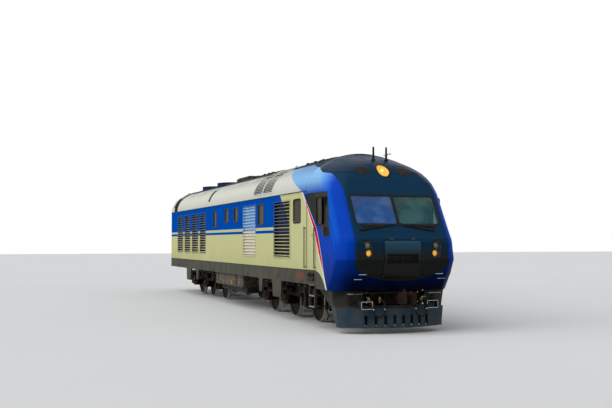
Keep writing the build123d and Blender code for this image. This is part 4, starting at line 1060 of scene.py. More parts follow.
def stage():
    """Pale floor, a white surround for the camera and soft light from above."""
    mesh = bpy.data.meshes.new("studio_floor")
    corners = [(-140, -140, 0), (140, -140, 0), (140, 140, 0), (-140, 140, 0)]
    mesh.from_pydata(corners, [], [(0, 1, 2, 3)])
    floor = link("studio_floor", mesh)
    f = Finish("studio_floor", None)
    tone = f.noise(0.12, 2.0, 0.4)
    # Paler for the rays that show the background: straight, reflected or through glass
    seen, through, glossy = light_paths(f)
    shown = f.mix(tone, (208, 208, 206), (214, 214, 212))
    tint = f.mix(seen.most(through).most(glossy), (92, 90, 86), shown)
    f.shade(tint, 0.8 + 0.1 * tone, shine=0.1)
    mesh.materials.append(f.material)
    world = bpy.data.worlds.new("studio")
    bpy.context.scene.world = world
    sky = Finish("studio", None, world)
    seen, through, glossy = light_paths(sky)
    plain = sky.node("Background", None, {"Color": paint(228, 234, 242), "Strength": 0.5})
    white = sky.node("Background", None, {"Color": (1, 1, 1, 1), "Strength": 1.0})
    way = sky.node("TexCoord", out="Generated")
    rise = sky.node("SeparateXYZ", None, {0: way}, "Z").over(0.3, 0.5)
    shown = seen.most(through).most(glossy * rise)
    mixed = sky.node("MixShader", None, {0: shown, 1: plain, 2: white})
    sky.node("OutputWorld", None, {"Surface": mixed})
    bpy.context.scene.view_settings.view_transform = "Standard"
    sun("soft_sky_light", 1.5, (-14, -4, 26), (0, 0, 1), 0.9)
    sun("side_fill_light", 1.6, (-30, 5, 9), (0, 2, 1), 1.0)
    sun("far_fill_light", 0.4, (20, -20, 12), (0, 0, 1), 1.4)


set_camera()
stage()


# Running gear


def air_bellows(foot):
    """Folded rubber duct: superellipse rings, one above the other, by turns wide and narrow,
    closed below and above."""
    turn = circle(28)
    x, y = 0.29 * bulge(np.cos(turn), 0.5), 0.16 * bulge(np.sin(turn), 0.5)
    scales = np.where(np.arange(13) % 2, 1.0, 0.9)
    rows = [(0.02, 0.0), *zip(scales, np.linspace(0, 0.2, 13)), (0.02, 0.2)]
    rings = [np.stack([scale * x, scale * y, 0 * x + rise], -1) for scale, rise in rows]
    return skin(foot + np.array(rings))


def axle_pieces(end, station):
    """Springs, covers with their bolts and dampers at the axle boxes of a bogie."""
    springs, covers, bolts, dampers = [], [], [], []
    cover = [
        (0, 0.128), (0.012, 0.128), (0.02, 0.12), (0.034, 0.098), (0.052, 0.09),
        (0.056, 0.06), (0.066, 0.05),
    ]
    for offset in AXLES:
        s = station + offset
        for way in (-0.25, 0.25):
            springs.append(coil(SILL_X, s + way, 0.503, 0.782, 0.0605, 0.0105, 5.5))
        hub = at(-1.18, s, TREAD)
        covers.append(lathe(cover, hub, LEFT, 32))
        bolts.append(bolt_ring(hub + (-0.016, 0, 0), LEFT, 0.108, 8, 0.011, 0.012))
        if offset:
            low_eye = (s + math.copysign(0.14, offset), 0.46)
            high_eye = (s + math.copysign(0.10, offset), 0.93)
            foot = at(-1.236, *low_eye)
            way = at(-1.236, *high_eye) - foot
            length = float(np.linalg.norm(way))
            damper = [
                (0, 0.02), (0.01, 0.034), (0.03, 0.036), (0.24, 0.036), (0.245, 0.044),
                (length - 0.02, 0.044), (length, 0.02),
            ]
            dampers.append(lathe(damper, foot, way, 18))
            for eye in (low_eye, high_eye):
                dampers.append(lathe([(0, 0.024), (0.085, 0.024)], at(-1.18, *eye), LEFT, 12))
    body = "bogie_" + end
    pair("axle_springs_" + end, springs, spring_steel, body)
    pair("axle_box_covers_" + end, covers, cast_dark, body)
    pair("axle_box_bolts_" + end, bolts, bright_steel, body)
    pair("axle_dampers_" + end, dampers, bogie_paint, body)


def bogie_pieces(end, station):
    """Bearers, brake cylinders, ribs, pipes, sand pipes and air bellows of a bogie."""
    body = "bogie_" + end
    layer = [(0, 0.148), (0.012, 0.152), (0.024, 0.148)]
    steps = [(0, way, rise) for way in (-0.5, 0.5) for rise in (0, 0.045, 0.09, 0.13)]
    bearer = lathe(layer, at(-SILL_X, station, 1.03), UP, 28).repeated(steps)
    pair("side_bearer_rings_" + end, bearer, black_rubber, body)
    profile = [
        (-0.17, 0.03), (-0.165, 0.06), (-0.13, 0.092), (-0.02, 0.096), (0, 0.112), (0.02, 0.112),
        (0.03, 0.096), (0.12, 0.09), (0.14, 0.05), (0.24, 0.022), (0.25, 0.02),
    ]
    cylinder = lathe(profile, at(-1.30, station + 1.0, 0.865), BACK, 26)
    cylinder += brick((-1.2, station + 0.88, 0.79), (-1.27, station + 1.12, 0.94), 0.01)
    pair("brake_cylinders_" + end, cylinder.along((0, -2.0)), cast_dark, body)
    rib = brick((-1.2, station - 0.012, 0.83), (-1.222, station + 0.012, 0.985), 0.004)
    lug = brick((-1.06, station - 0.05, 0.99), (-1.14, station + 0.05, 1.05), 0.012)
    stop = brick((-1.2, station - 0.1, 0.9), (-1.262, station + 0.1, 0.98), 0.01)
    ribs = [rib.along((-2.3, -1.62, -0.36, 0.36, 1.62, 2.3)), lug.along((-1.9, 1.9)), stop]
    pair("sill_ribs_and_stops_" + end, ribs, bogie_paint, body)
    pipes = []
    for x, height, radius in ((-1.216, 1.018, 0.013), (-1.02, 1.017, 0.017), (-1.245, 1.02, 0.008)):
        ends = [(x, station + way, height) for way in (-2.28, 2.28)]
        pipes.append(run(ends, radius, sides=10))
    for s in (station + offset for offset in AXLES):
        branch = [(-1.216, s + 0.19, 1.018), (-1.236, s + 0.19, 0.9)]
        branch += [(-1.225, s + 0.02, 0.72), (-1.2, s + 0.02, 0.6)]
        pipes.append(run(branch, 0.009, 0.05))
    pair("bogie_air_pipes_" + end, pipes, black_rubber, body)
    clip = brick((-1.206, station - 0.015, 1.0), (-1.262, station + 0.015, 1.036), 0.004)
    pair("pipe_clips_" + end, clip.along(np.linspace(-2.1, 2.1, 9)), bright_steel, body)
    sand = []
    for way in (-1, 1):
        s = station + way * 2.7
        down = [(-0.86, s, 0.86), (-0.84, s, 0.5)]
        down += [(-0.76, s - way * 0.06, 0.2), (-0.748, s - way * 0.16, 0.09)]
        sand.append(run(down, 0.018, 0.1, 10))
        sand.append(brick((-0.8, s - 0.03, 0.46), (-0.9, s + 0.03, 0.5), 0.004))
        sand.append(brick((-0.845, s - 0.012, 0.46), (-0.875, s + 0.012, 0.86), 0.003))
    pair("sand_pipes_" + end, sand, spring_steel, body)
    motors = (-1.6, 0.4, 1.6)
    neck = brick((-0.27, station - 0.14, 0.72), (0.27, station + 0.14, 0.985), 0.012)
    piece("motor_air_necks_" + end, neck.along(motors), bogie_paint, body)
    bellows = air_bellows(at(0, station, 0.98)).along(motors)
    piece("motor_air_bellows_" + end, bellows, black_rubber, body)


def tank_pieces():
    """Straps, filler caps, gauges, bolts and hatches of the fuel tank, and the reservoirs."""
    straps = brick((TANK_X, -0.04, 0.72), (-1.549, 0.04, 1.19), 0.003)
    straps += brick((-1.33, -0.035, 0.55), (-1.345, 0.035, 0.7), 0.003)
    pair("tank_straps", straps.along((8.82, 9.62, 11.32)), tank_paint)
    neck = [
        (0, 0.09), (0.012, 0.09), (0.014, 0.062), (0.05, 0.06), (0.052, 0.07), (0.074, 0.07),
        (0.08, 0.05),
    ]
    filler = lathe(neck, at(TANK_X, 10.9, 0.84), LEFT, 26)
    filler += brick((-1.605, 10.84, 0.831), (-1.625, 10.96, 0.849), 0.005)
    pair("tank_filler_caps", filler, brass_metal)
    gauge = brick((TANK_X, 11.2, 0.76), (-1.558, 11.26, 1.14), 0.006)
    pair("tank_gauge_frames", gauge, black_paint)
    sight = brick((-1.556, 11.215, 0.79), (-1.563, 11.245, 1.11), 0.003)
    pair("tank_gauge_glasses", sight, lamp_clear)
    places = [(0, s, h) for s in np.linspace(8.5, 11.85, 12) for h in (0.745, 1.165)]
    bolts = bolt(at(TANK_X, 0, 0), LEFT, 0.012, 0.01).repeated(places)
    pair("tank_bolts", bolts, bright_steel)
    hatch = brick((TANK_X, 11.52, 0.8), (-1.552, 11.87, 1.1), 0.01)
    hatch += brick((TANK_X, 8.43, 0.8), (-1.552, 8.69, 1.1), 0.01)
    grip = [(-1.548, 11.59, 0.95), (-1.575, 11.59, 0.95)]
    grip += [(-1.575, 11.59, 1.03), (-1.548, 11.59, 1.03)]
    pair("tank_side_hatches", hatch + run(grip, 0.006), tank_paint)
    barrel = [
        (0, 0.04), (0.02, 0.12), (0.06, 0.155), (0.1, 0.165), (1.9, 0.165), (1.94, 0.155),
        (1.98, 0.12), (2.0, 0.04),
    ]
    ends = (8.0, 12.36)
    tank = lathe(barrel, at(-1.0, 0, 0.98), (1, 0, 0), 30)
    piece("air_reservoirs", tank.along(ends), frame_paint)
    band = ring(at(-0.6, 0, 0.98), (1, 0, 0), 0.169, 0.006, 30)
    band += brick((-0.62, -0.03, 1.14), (-0.58, 0.03, 1.24), 0.004)
    bands = band.repeated([(across, s, 0) for s in ends for across in (0, 1.2)])
    piece("reservoir_straps", bands, frame_paint)


def on_skirt(out, low, high, edge):
    """Block that stands out from the skirt, between two station and height corners."""
    return brick((-HALF_WIDTH, *low), (-HALF_WIDTH - out, *high), edge)


def skirt_pieces():
    """Sockets, jacking pads, flaps, seams, step edges and door seals on the skirt bands."""
    profile = [(0, 0.062), (0.01, 0.062), (0.014, 0.05), (0.04, 0.048), (0.05, 0.03)]
    socket = lathe(profile, at(-HALF_WIDTH, 0, 1.40), LEFT, 22)
    pair("skirt_sockets", socket.along((18.98, 19.14, 19.3)), black_rubber)
    box = on_skirt(0.03, (18.88, 1.24), (19.36, 1.33), 0.008)
    pair("skirt_socket_boxes", box, black_paint)
    pad = on_skirt(0.014, (-0.16, 1.15), (0.16, 1.27), 0.008)
    pair("jacking_pads", pad.along((1.6, 8.25, 12.95, 18.3)), skirt_paint)
    flap = on_skirt(0.008, (-0.2, 1.22), (0.2, 1.46), 0.01)
    flap += lathe([(-0.03, 0.008), (0.03, 0.008)], at(-HALF_WIDTH - 0.01, 0, 1.465), BACK, 8)
    pair("skirt_flaps", flap.along((2.6, 7.7, 10.15, 16.2)), skirt_paint)
    seam = on_skirt(0.006, (-0.012, 1.135), (0.012, 1.515), 0.002)
    pair("skirt_joint_strips", seam.along((3.2, 6.3, 9.42, 12.5, 15.6)), skirt_paint)
    ledge = on_skirt(0.012, (0.02, 1.505), (18.74, 1.519), 0.003)
    pair("skirt_top_ledges", ledge, skirt_paint)
    edge = brick((-1.588, 18.82, 0.53), (-1.602, 19.21, 0.556), 0.004)
    treads = edge.repeated([(0, 0, rise) for rise in (0.0, 0.29, 0.58)])
    pair("cab_step_edges", treads, bright_steel)
    gap = on_skirt(0.004, (18.778, 1.53), (18.794, 3.5), 0.001)
    gap += on_skirt(0.003, (19.424, 1.53), (19.432, 3.5), 0.001)
    pair("cab_door_seals", gap, black_rubber)


for end, station in BOGIES.items():
    axle_pieces(end, station)
    bogie_pieces(end, station)
tank_pieces()
skirt_pieces()


# Front


def headlamp_pieces():
    """Bowl of the lit headlamp behind its glass, its bulb and its rim on the skin."""
    middle = 4.142

    def round_lamp(radius, turn, lift):
        """Circle seen from ahead, about the lamp's middle, on the skin plus a lift."""
        x, height = radius * np.cos(turn), middle + radius * np.sin(turn)
        return nose_points(x, height, lift)

    turn = circle(40)
    bowl = ((0.006, 0.1), (0.05, 0.094), (0.1, 0.078), (0.14, 0.056), (0.168, 0.03))
    rows = [round_lamp(radius, turn, -sink) for radius, sink in bowl]
    back = [row + (0, 0.012, 0) for row in rows[::-1]]
    piece("headlamp_bowl", skin(np.array(rows + back)), head_glow)
    profile = [(0, 0.03), (0.02, 0.045), (0.05, 0.04), (0.065, 0.02), (0.07, 0.005)]
    bulb = lathe(profile, nose_points(0, middle, -0.1), AHEAD, 18)
    piece("headlamp_bulb", bulb, bulb_glow)
    rim = [closed_pipe(round_lamp(0.186, turn, 0.002), 0.009)]
    for angle in np.radians([30, 90, 150, 210, 270, 330]):
        rim.append(bolt(round_lamp(0.215, angle, 0.0), (0, -0.66, 0.75), 0.008, 0.006))
    piece("headlamp_rim", rim, black_paint)


def cluster_pieces():
    """Reflectors, lenses and rims of the corner lamps, white above and amber below."""
    bowl = [
        (0, 0.06), (0.004, 0.062), (0.03, 0.076), (0.05, 0.083), (0.052, 0.079), (0.03, 0.068),
        (0.012, 0.05), (0.01, 0.02),
    ]
    lens = [(0.02, 0.056), (0.04, 0.062), (0.055, 0.056), (0.064, 0.04), (0.068, 0.015)]
    feet = [at(-0.945, 21.145, 2.18), at(-0.915, 21.145, 1.985)]
    pair("corner_lamp_bowls", [lathe(bowl, foot, AHEAD, 26) for foot in feet], bright_steel)
    rims = [ring(foot + (0, -0.051, 0), AHEAD, 0.082, 0.005) for foot in feet]
    pair("corner_lamp_rims", rims, bright_steel)
    for colour, foot, glow in zip(("white", "amber"), feet, (white_glow, amber_glow)):
        pair("corner_lamp_" + colour + "_lenses", lathe(lens, foot, AHEAD, 26), glow)
    corners = np.array([(-0.85, 2.32), (-1.085, 2.32), (-1.035, 1.862), (-0.775, 1.862)])
    steps = np.linspace(0.05, 0.95, 8)[:, None]
    path = [a + (b - a) * steps for a, b in zip(corners, np.roll(corners, -1, 0))]
    seal = closed_pipe(nose_points(*np.vstack(path).T, 0.001), 0.007, 6)
    pair("corner_lamp_seals", seal, black_rubber)


def nose_pieces():
    """Hatch latches and hinges, slats in its recess, irons, vent plates and seams."""
    knob = [(0, 0.017), (0.004, 0.017), (0.005, 0.009), (0.008, 0.009)]
    places = [(x, height) for height in (2.275, 1.42, 1.66) for x in (-0.485, 0.485)]
    latches = [lathe(knob, nose_points(*place, -0.002), AHEAD, 16) for place in places]
    for x in (-0.3, 0.3):
        latches.append(nose_plate((x - 0.05, x + 0.05), (2.325, 2.355), 0.0, 0.012))
    piece("hatch_latches", latches, dark_plastic)
    slats = []
    for height in (1.765, 1.81, 1.855, 1.9, 1.945):
        slats.append(nose_plate((-0.415, 0.415), (height, height + 0.014), -0.016, 0.012))
    for x in (-0.21, 0.0, 0.21):
        slats.append(nose_plate((x - 0.008, x + 0.008), (1.742, 1.96), -0.017, 0.008))
    piece("hatch_recess_slats", slats, black_paint)
    turn = circle(40)
    lip_x = 0.425 * bulge(np.cos(turn), 0.3)
    lip_h = 1.85 + 0.115 * bulge(np.sin(turn), 0.5)
    lip = closed_pipe(nose_points(lip_x, lip_h, -0.003), 0.006, 6)
    piece("hatch_recess_lip", lip, black_rubber)
    irons = []
    for x, h in ((-1.06, 1.46), (-1.15, 1.34)):
        a, b = x - 0.085, x + 0.085
        front = float(nose_skin(x, h)) + 0.05
        bar = [(a, front - 0.09, h), (a, front, h), (b, front, h), (b, front - 0.07, h)]
        irons.append(run(bar, 0.009))
        low, high = (a - 0.005, front - 0.012, h - 0.004), (b + 0.005, front + 0.016, h + 0.009)
        irons.append(brick(low, high, 0.003))
    pair("nose_foot_irons", irons, white_paint)
    vent = nose_plate((-0.75, -0.45), (4.03, 4.25), 0.002, 0.006, 7, 7)
    pair("nose_vent_plates", vent, roof_black)
    bars = []
    for height in np.linspace(4.05, 4.22, 8):
        bars.append(nose_plate((-0.735, -0.465), (height, height + 0.012), 0.008, 0.006, 7, 2))
    pair("nose_vent_bars", bars, black_paint)
    seam = pipe(nose_points(-1.30, np.linspace(1.5, 3.7, 40), -0.001), 0.004, 6)
    level = pipe(nose_points(np.linspace(-1.05, 1.05, 24), 2.52, -0.001), 0.004, 6)
    piece("nose_seams", seam.both() + level, black_rubber)


def wiper_pieces():
    """Wiper spindles, arms that taper along straight lines over the skin, and washer jets."""
    spindle = [(0, 0.03), (0.012, 0.03), (0.018, 0.018), (0.04, 0.016)]
    pair("wiper_spindles", lathe(spindle, nose_points(-0.6, 2.64, 0.0), OFF_NOSE, 16), black_paint)
    arms = []
    boss = [(-0.005, 0.03), (0.02, 0.03), (0.03, 0.022), (0.05, 0.02), (0.052, 0.008)]
    for outer, inner in (((-1.08, 2.575), (-0.16, 2.705)), ((0.94, 2.565), (0.06, 2.695))):
        x, height = np.linspace(outer, inner, 14).T
        arms.append(pipe(nose_points(x, height, 0.03), np.linspace(0.019, 0.01, 14), 8))
        arms.append(lathe(boss, nose_points(*outer, 0.0), OFF_NOSE, 14))
    piece("wiper_arms", arms, black_paint)
    jet = [(0, 0.012), (0.006, 0.011), (0.012, 0.006)]
    jets = [lathe(jet, nose_points(x, 2.58, 0.0), OFF_NOSE, 12) for x in (-0.85, -0.35)]
    pair("washer_jets", jets, dark_plastic)


def step_pieces():
    """Round covers on the valance and the two front steps with their pale edges."""
    way = np.array((-0.41, -0.912, 0))
    foot = at(-1.16, bowed_station(1.16, NOSE - 0.39, 1.55, 0.46) - 0.004, 0.8)
    profile = [
        (0, 0.118), (0.014, 0.118), (0.02, 0.108), (0.034, 0.1), (0.038, 0.05), (0.05, 0.045),
        (0.054, 0.02),
    ]
    pair("valance_covers", lathe(profile, foot, way, 30), black_paint)
    screws = []
    for a in circle(6):
        across = np.array([0.912 * math.cos(a), -0.41 * math.cos(a), math.sin(a)]) * 0.109
        screws.append(bolt(foot + across + way * 0.014, way, 0.008, 0.007))
    pair("valance_cover_bolts", screws, pilot_paint)
    box = [brick((-1.06, 20.93, 0.6), (-0.76, 21.09, 0.618), 0.004)]
    for x in (-1.06, -0.775):
        box.append(brick((x, 20.93, 0.6), (x + 0.015, 21.09, 0.79), 0.004))
        box.append(run([(x + 0.0075, 20.95, 0.78), (x + 0.0075, 20.6, 0.78)], 0.012))
    pair("front_step_boxes", box, black_paint)
    edges = []
    for low, high in ((0.596, 0.612), (0.778, 0.792)):
        edges.append(brick((-1.064, 21.088, low), (-0.756, 21.094, high), 0.002))
    for x in (-1.064, -0.77):
        edges.append(brick((x, 21.088, 0.6), (x + 0.014, 21.094, 0.79), 0.002))
    pair("front_step_edges", edges, white_paint)


def hose_pieces():
    """Cocks with their levers and clamping bands on the brake hoses of both ends."""
    barrel = [
        (-0.05, 0.03), (-0.04, 0.036), (-0.012, 0.036), (-0.01, 0.046), (0.01, 0.046),
        (0.012, 0.036), (0.04, 0.036), (0.05, 0.03),
    ]
    stem = [(0, 0.016), (0.055, 0.016), (0.06, 0.022), (0.075, 0.022)]
    cocks, levers, bands = [], [], []
    for s, way, height, band_s, band_height in (
        (20.82, AHEAD, 0.80, 21.10, 0.6),
        (-0.1, BACK, 1.18, -0.23, 0.98),
    ):
        for x in HOSES_X:
            place = at(x, s, height)
            cocks.append(lathe(barrel, place, way, 18))
            cocks.append(lathe(stem, place, UP, 12))
            low, high = (x, s - 0.011, height + 0.066), (x * 1.12 + 0.02, s + 0.011, height + 0.078)
            levers.append(brick(low, high, 0.004))
            middle = at(x, band_s, band_height)
            bands.append(lathe([(-0.02, 0.025), (0.02, 0.025)], middle, UP, 12))
            bands.append(ring(middle, UP, 0.025, 0.004, 14))
    piece("hose_cocks", cocks, brass_metal)
    piece("hose_cock_levers", levers, white_paint)
    piece("hose_bands", bands, bright_steel)


def coupler_pieces():
    """Pins of the couplers, the uncoupling lever, cable sockets and the headstock's bolts."""
    pin = [
        (-0.165, 0.03), (-0.16, 0.036), (-0.143, 0.036), (-0.14, 0.022), (0.14, 0.022),
        (0.143, 0.036), (0.16, 0.036), (0.165, 0.02),
    ]
    lock = [(0.14, 0.05), (0.15, 0.045), (0.152, 0.02), (0.19, 0.018), (0.195, 0.03), (0.215, 0.03)]
    rear_pin = [
        (-0.165, 0.03), (-0.143, 0.036), (-0.14, 0.022), (0.14, 0.022), (0.143, 0.036),
        (0.165, 0.02),
    ]
    places = ((pin, 0.13, 21.42), (lock, 0.02, 21.3), (rear_pin, -0.13, -0.32))
    pins = [lathe(profile, at(x, s, COUPLER), UP, 16) for profile, x, s in places]
    piece("coupler_pins", pins, spring_steel)
    path = [(0.02, 21.3, 1.0), (0.02, 21.28, 1.09), (0.02, 20.98, 1.0), (-0.3, 20.9, 0.985)]
    path += [(-1.12, 20.9, 0.985), (-1.2, 20.93, 0.985), (-1.2, 20.93, 0.78)]
    lever = run(path, 0.012, 0.05)
    for x in (-1.05, -0.45):
        lever += brick((x - 0.02, 20.6, 0.975), (x + 0.02, 20.915, 0.995), 0.004)
    piece("uncoupling_lever", lever, black_paint)
    mouth = [(0.0, 0.055), (0.05, 0.055), (0.055, 0.062), (0.07, 0.062), (0.075, 0.03)]
    sockets = [
        brick((-0.68, 20.62, 0.86), (-0.52, 20.66, 1.0), 0.008),
        lathe(mouth, at(-0.6, 20.66, 0.93), AHEAD, 22),
        brick((-1.04, -0.03, 1.28), (-0.86, 0.004, 1.44), 0.008),
        lathe(mouth, at(-0.95, -0.03, 1.36), BACK, 22),
    ]
    pair("jumper_sockets", sockets, cast_dark)
    bolts = [
        bolt(at(x, 20.63, height), AHEAD, 0.014, 0.012)
        for x in np.linspace(-0.9, 0.9, 11)
        for height in (0.73, 0.98)
        if abs(x) > 0.32
    ]
    piece("headstock_bolts", bolts, bright_steel)


def pilot_pieces():
    """Beam behind the pilot, drain tap, bolts and rolled lower edge along its bowed plate."""
    beam = brick((-0.96, 20.26, 0.5), (0.96, 20.3, 1.03), 0.01)
    beam += brick((-0.96, 20.3, 0.62), (0.96, 20.34, 0.65), 0.004)
    piece("pilot_back_beam", beam, frame_paint)
    spout = [(0, 0.02), (0.05, 0.02), (0.052, 0.034), (0.09, 0.034), (0.092, 0.016), (0.15, 0.014)]
    tap = lathe(spout, at(-0.6, 20.39, 0.31), AHEAD, 16)
    tap += brick((-0.615, 20.47, 0.34), (-0.585, 20.5, 0.4), 0.005)
    piece("pilot_drain_tap", tap, brass_metal)
    reach, bow = 1.52, 0.49
    radius = (reach**2 + bow**2) / (2 * bow)
    studs = []
    for x in np.linspace(-1.4, 1.4, 15):
        foot = at(x, bowed_station(x, 21.012, reach, bow), 0.55)
        studs.append(bolt(foot, (x / radius, -1, 0), 0.011, 0.008))
    piece("pilot_bolts", studs, pilot_paint)
    x = np.linspace(-1.42, 1.42, 30)
    lip = pipe(at(x, bowed_station(x, 21.06, reach, bow), 0.135), 0.013, 8)
    piece("pilot_lower_edge", lip, pilot_paint)


headlamp_pieces()
cluster_pieces()
nose_pieces()
wiper_pieces()
step_pieces()
hose_pieces()
coupler_pieces()
pilot_pieces()


# Roof


def roof_pieces():
    """Seam strips with their bolts, walkways and lifting eyes on the roof."""
    middle_seams = (7.3, 13.25)
    strips = []
    for s in (0.06, *middle_seams, 18.73):
        strips.append(roof_sheet((s - 0.028, s + 0.028), (-1.5, 1.5), 0.0, 0.007, 44))
    piece("roof_seam_strips", strips, roof_satin)
    heads = []
    for s in middle_seams:
        for x in np.linspace(-1.4, 1.4, 21):
            foot = at(x, s, float(roof_height(x)) + 0.006)
            heads.append(bolt(foot, (x * 0.45, 0, 1), 0.009, 0.006))
    piece("roof_seam_bolts", heads, bright_steel)
    walks = []
    for a, b, half in ((6.42, 7.2, 0.62), (13.45, 16.0, 0.62), (0.9, 2.0, 0.5), (3.68, 4.72, 0.5)):
        walks.append(roof_sheet((a, b), (-half, half), 0.001, 0.008, 16))
    piece("roof_walkways", walks, walk_sheet)
    height = float(roof_height(0.92)) + 0.034
    eye = ring(at(-0.92, 0, height), BACK, 0.03, 0.009, 20, 8)
    eye += brick((-0.97, -0.03, height - 0.05), (-0.87, 0.03, height - 0.026), 0.006)
    eyes = eye.along((0.5, 6.3, 7.15, 9.5, 11.5, 13.4, 15.9, 17.95))
    pair("roof_lifting_eyes", eyes, roof_black)


def hatch_pieces():
    """Slats in the exhaust outlets, hinges of the ridge's hatches and the shoulder vents."""
    slats = [
        brick((-0.19, s + away - 0.004, 4.768), (0.19, s + away + 0.014, 4.789), 0.003)
        for s in (8.0, 8.8)
        for away in np.linspace(-0.22, 0.2, 9)
    ]
    piece("exhaust_slats", slats, sooty_steel)
    fittings = []
    height = float(roof_height(0.66)) + 0.028
    for low, high in ((9.7, 11.3), (11.7, 13.1), (16.1, 17.8)):
        for s in np.linspace(low + 0.2, high - 0.2, 3):
            low_end, high_end = (-0.64, s - 0.05, height - 0.03), (-0.735, s + 0.05, height + 0.004)
            fittings.append(brick(low_end, high_end, 0.008))
            knuckle = [(-0.055, 0.012), (0.055, 0.012)]
            fittings.append(lathe(knuckle, at(-0.715, s, height), BACK, 10))
    pair("hatch_hinges", fittings, roof_black)
    vents, bars = [], []
    for s in (7.44, 0.62):
        vents.append(roof_sheet((s - 0.15, s + 0.15), (-1.625, -1.32), 0.0, 0.012, 16))
        for x in np.linspace(-1.60, -1.35, 10):
            bars.append(roof_sheet((s - 0.13, s + 0.13), (x, x + 0.012), 0.012, 0.008, 3))
    pair("shoulder_vents", vents, black_paint)
    pair("shoulder_vent_bars", bars, roof_black)


def fan_pieces():
    """Crossed wires over the cooling fans and the bolts of their rings."""
    wires, caps = [], []
    for s in FANS:
        for offset in np.linspace(-0.7, 0.7, 21):
            reach = math.sqrt(0.745**2 - offset**2)
            lengthwise = [(offset, s - reach, 4.709), (offset, s + reach, 4.709)]
            across = [(-reach, s + offset, 4.7035), (reach, s + offset, 4.7035)]
            wires += [run(lengthwise, 0.003, sides=6), run(across, 0.003, sides=6)]
        caps.append(bolt_ring(at(0, s, 4.715), UP, 0.77, 16, 0.011, 0.008))
    piece("fan_guard_wires", wires, wire_mesh)
    piece("fan_ring_bolts", caps, bright_steel)


def aerial_pieces():
    """Sleeves round the two aerials and the bent wire beside one of them."""
    station, low, top = 19.5, 0.012, float(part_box("roof_aerials")[1][2]) - RAIL_Z - 0.006
    base = float(np.interp(NOSE - station, NOSE_ROWS[:, 1], NOSE_ROWS[:, 0]))
    rise = top - base - low
    sleeve = [
        (0.0, 0.06), (0.012, 0.06), (0.02, 0.045), (0.05, 0.034), (0.07, 0.03),
        (rise - 0.02, 0.026), (rise - 0.004, 0.02), (rise, 0.01),
    ]
    forks = [lathe(sleeve, at(x, station, base + low), UP, 18) for x in (0.0, 0.38)]
    forks.append(run([(0.38, 19.5, 4.6), (0.46, 19.5, 4.66), (0.53, 19.5, 4.645)], 0.011))
    forks.append(run([(0.38, 19.5, 4.58), (0.30, 19.5, 4.62)], 0.009))
    piece("aerial_fittings", forks, black_rubber)


roof_pieces()
fan_pieces()
hatch_pieces()
aerial_pieces()


# Cab and doors

# Power of the cushions' superellipse, and their rings as shares of half width and height
CUSHION_POWER = 0.42
CUSHION_RINGS = (
    (0.03, -1), (0.5, -1), (0.9, -0.96), (0.98, -0.7), (1.0, -0.2), (1.0, 0.3), (0.965, 0.38),
    (0.99, 0.46), (0.96, 0.8), (0.88, 1), (0.7, 1), (0.45, 1), (0.22, 1), (0.03, 1),
)


def cushion_loop(half, scale, rise, upright, sides):
    """Superellipse loop of a cushion, level or upright, about its middle."""
    turn = circle(sides)
    p = half[0] * scale * bulge(np.cos(turn), CUSHION_POWER)
    q = half[1] * scale * bulge(np.sin(turn), CUSHION_POWER)
    r = np.full(sides, rise)
    return np.stack([p, -r, q] if upright else [p, q, r], -1)


def cushion(middle, half, crown, upright):
    """Padded block: superellipse rings grow from the middle of one face, turn over the
    rounded edge with its groove for the piping, and close on a face crowned like a dome."""
    loops = []
    for scale, level in CUSHION_RINGS:
        rise = half[2] * level + (crown * (1 - scale**2) if level >= 0.8 else 0.0)
        loops.append(cushion_loop(half, scale, rise, upright, 32))
    return skin(middle + np.array(loops))


def seat_pieces():
    """Two seats with sewn cushions and piped edges on pedestals, for the CAD's seats."""
    station = 19.56
    cushions, seams, frames = [], [], []
    low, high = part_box("cab_seats")
    outer = max(abs(low[0]), abs(high[0])) - 0.24
    pedestal = [
        (0, 0.17), (0.02, 0.17), (0.03, 0.07), (0.06, 0.05), (0.38, 0.045), (0.4, 0.12),
        (0.425, 0.13),
    ]
    for x in (-outer, outer):
        for place, half, crown, upright in (
            (at(x, station, 2.0), (0.235, 0.225, 0.055), 0.022, False),
            (at(x, 19.335, 2.33), (0.225, 0.27, 0.045), 0.02, True),
            (at(x, 19.335, 2.70), (0.13, 0.075, 0.035), 0.012, True),
        ):
            cushions.append(cushion(place, half, crown, upright))
            if half[0] > 0.2:
                seam = place + cushion_loop(half, 0.975, half[2] * 0.38, upright, 48)
                seams.append(closed_pipe(seam, 0.006, 6))
        frames.append(lathe(pedestal, at(x, station, FLOOR), UP, 26))
        frames.append(brick((x - 0.2, 19.3, 2.02), (x + 0.2, 19.34, 2.58), 0.015))
        frames.append(run([(x, 19.32, 2.5), (x, 19.31, 2.72)], 0.012))
        for arm in (x - 0.25, x + 0.25):
            rest = [(arm, 19.33, 2.12), (arm, 19.36, 2.24), (arm, 19.62, 2.24)]
            frames.append(run(rest, 0.016, 0.05))
    pads = piece("seat_cushions", cushions, seat_cloth, crease=60)
    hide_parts("cab_seats")
    piece("seat_piping", seams, black_rubber)
    piece("seat_frames", frames, dark_plastic)


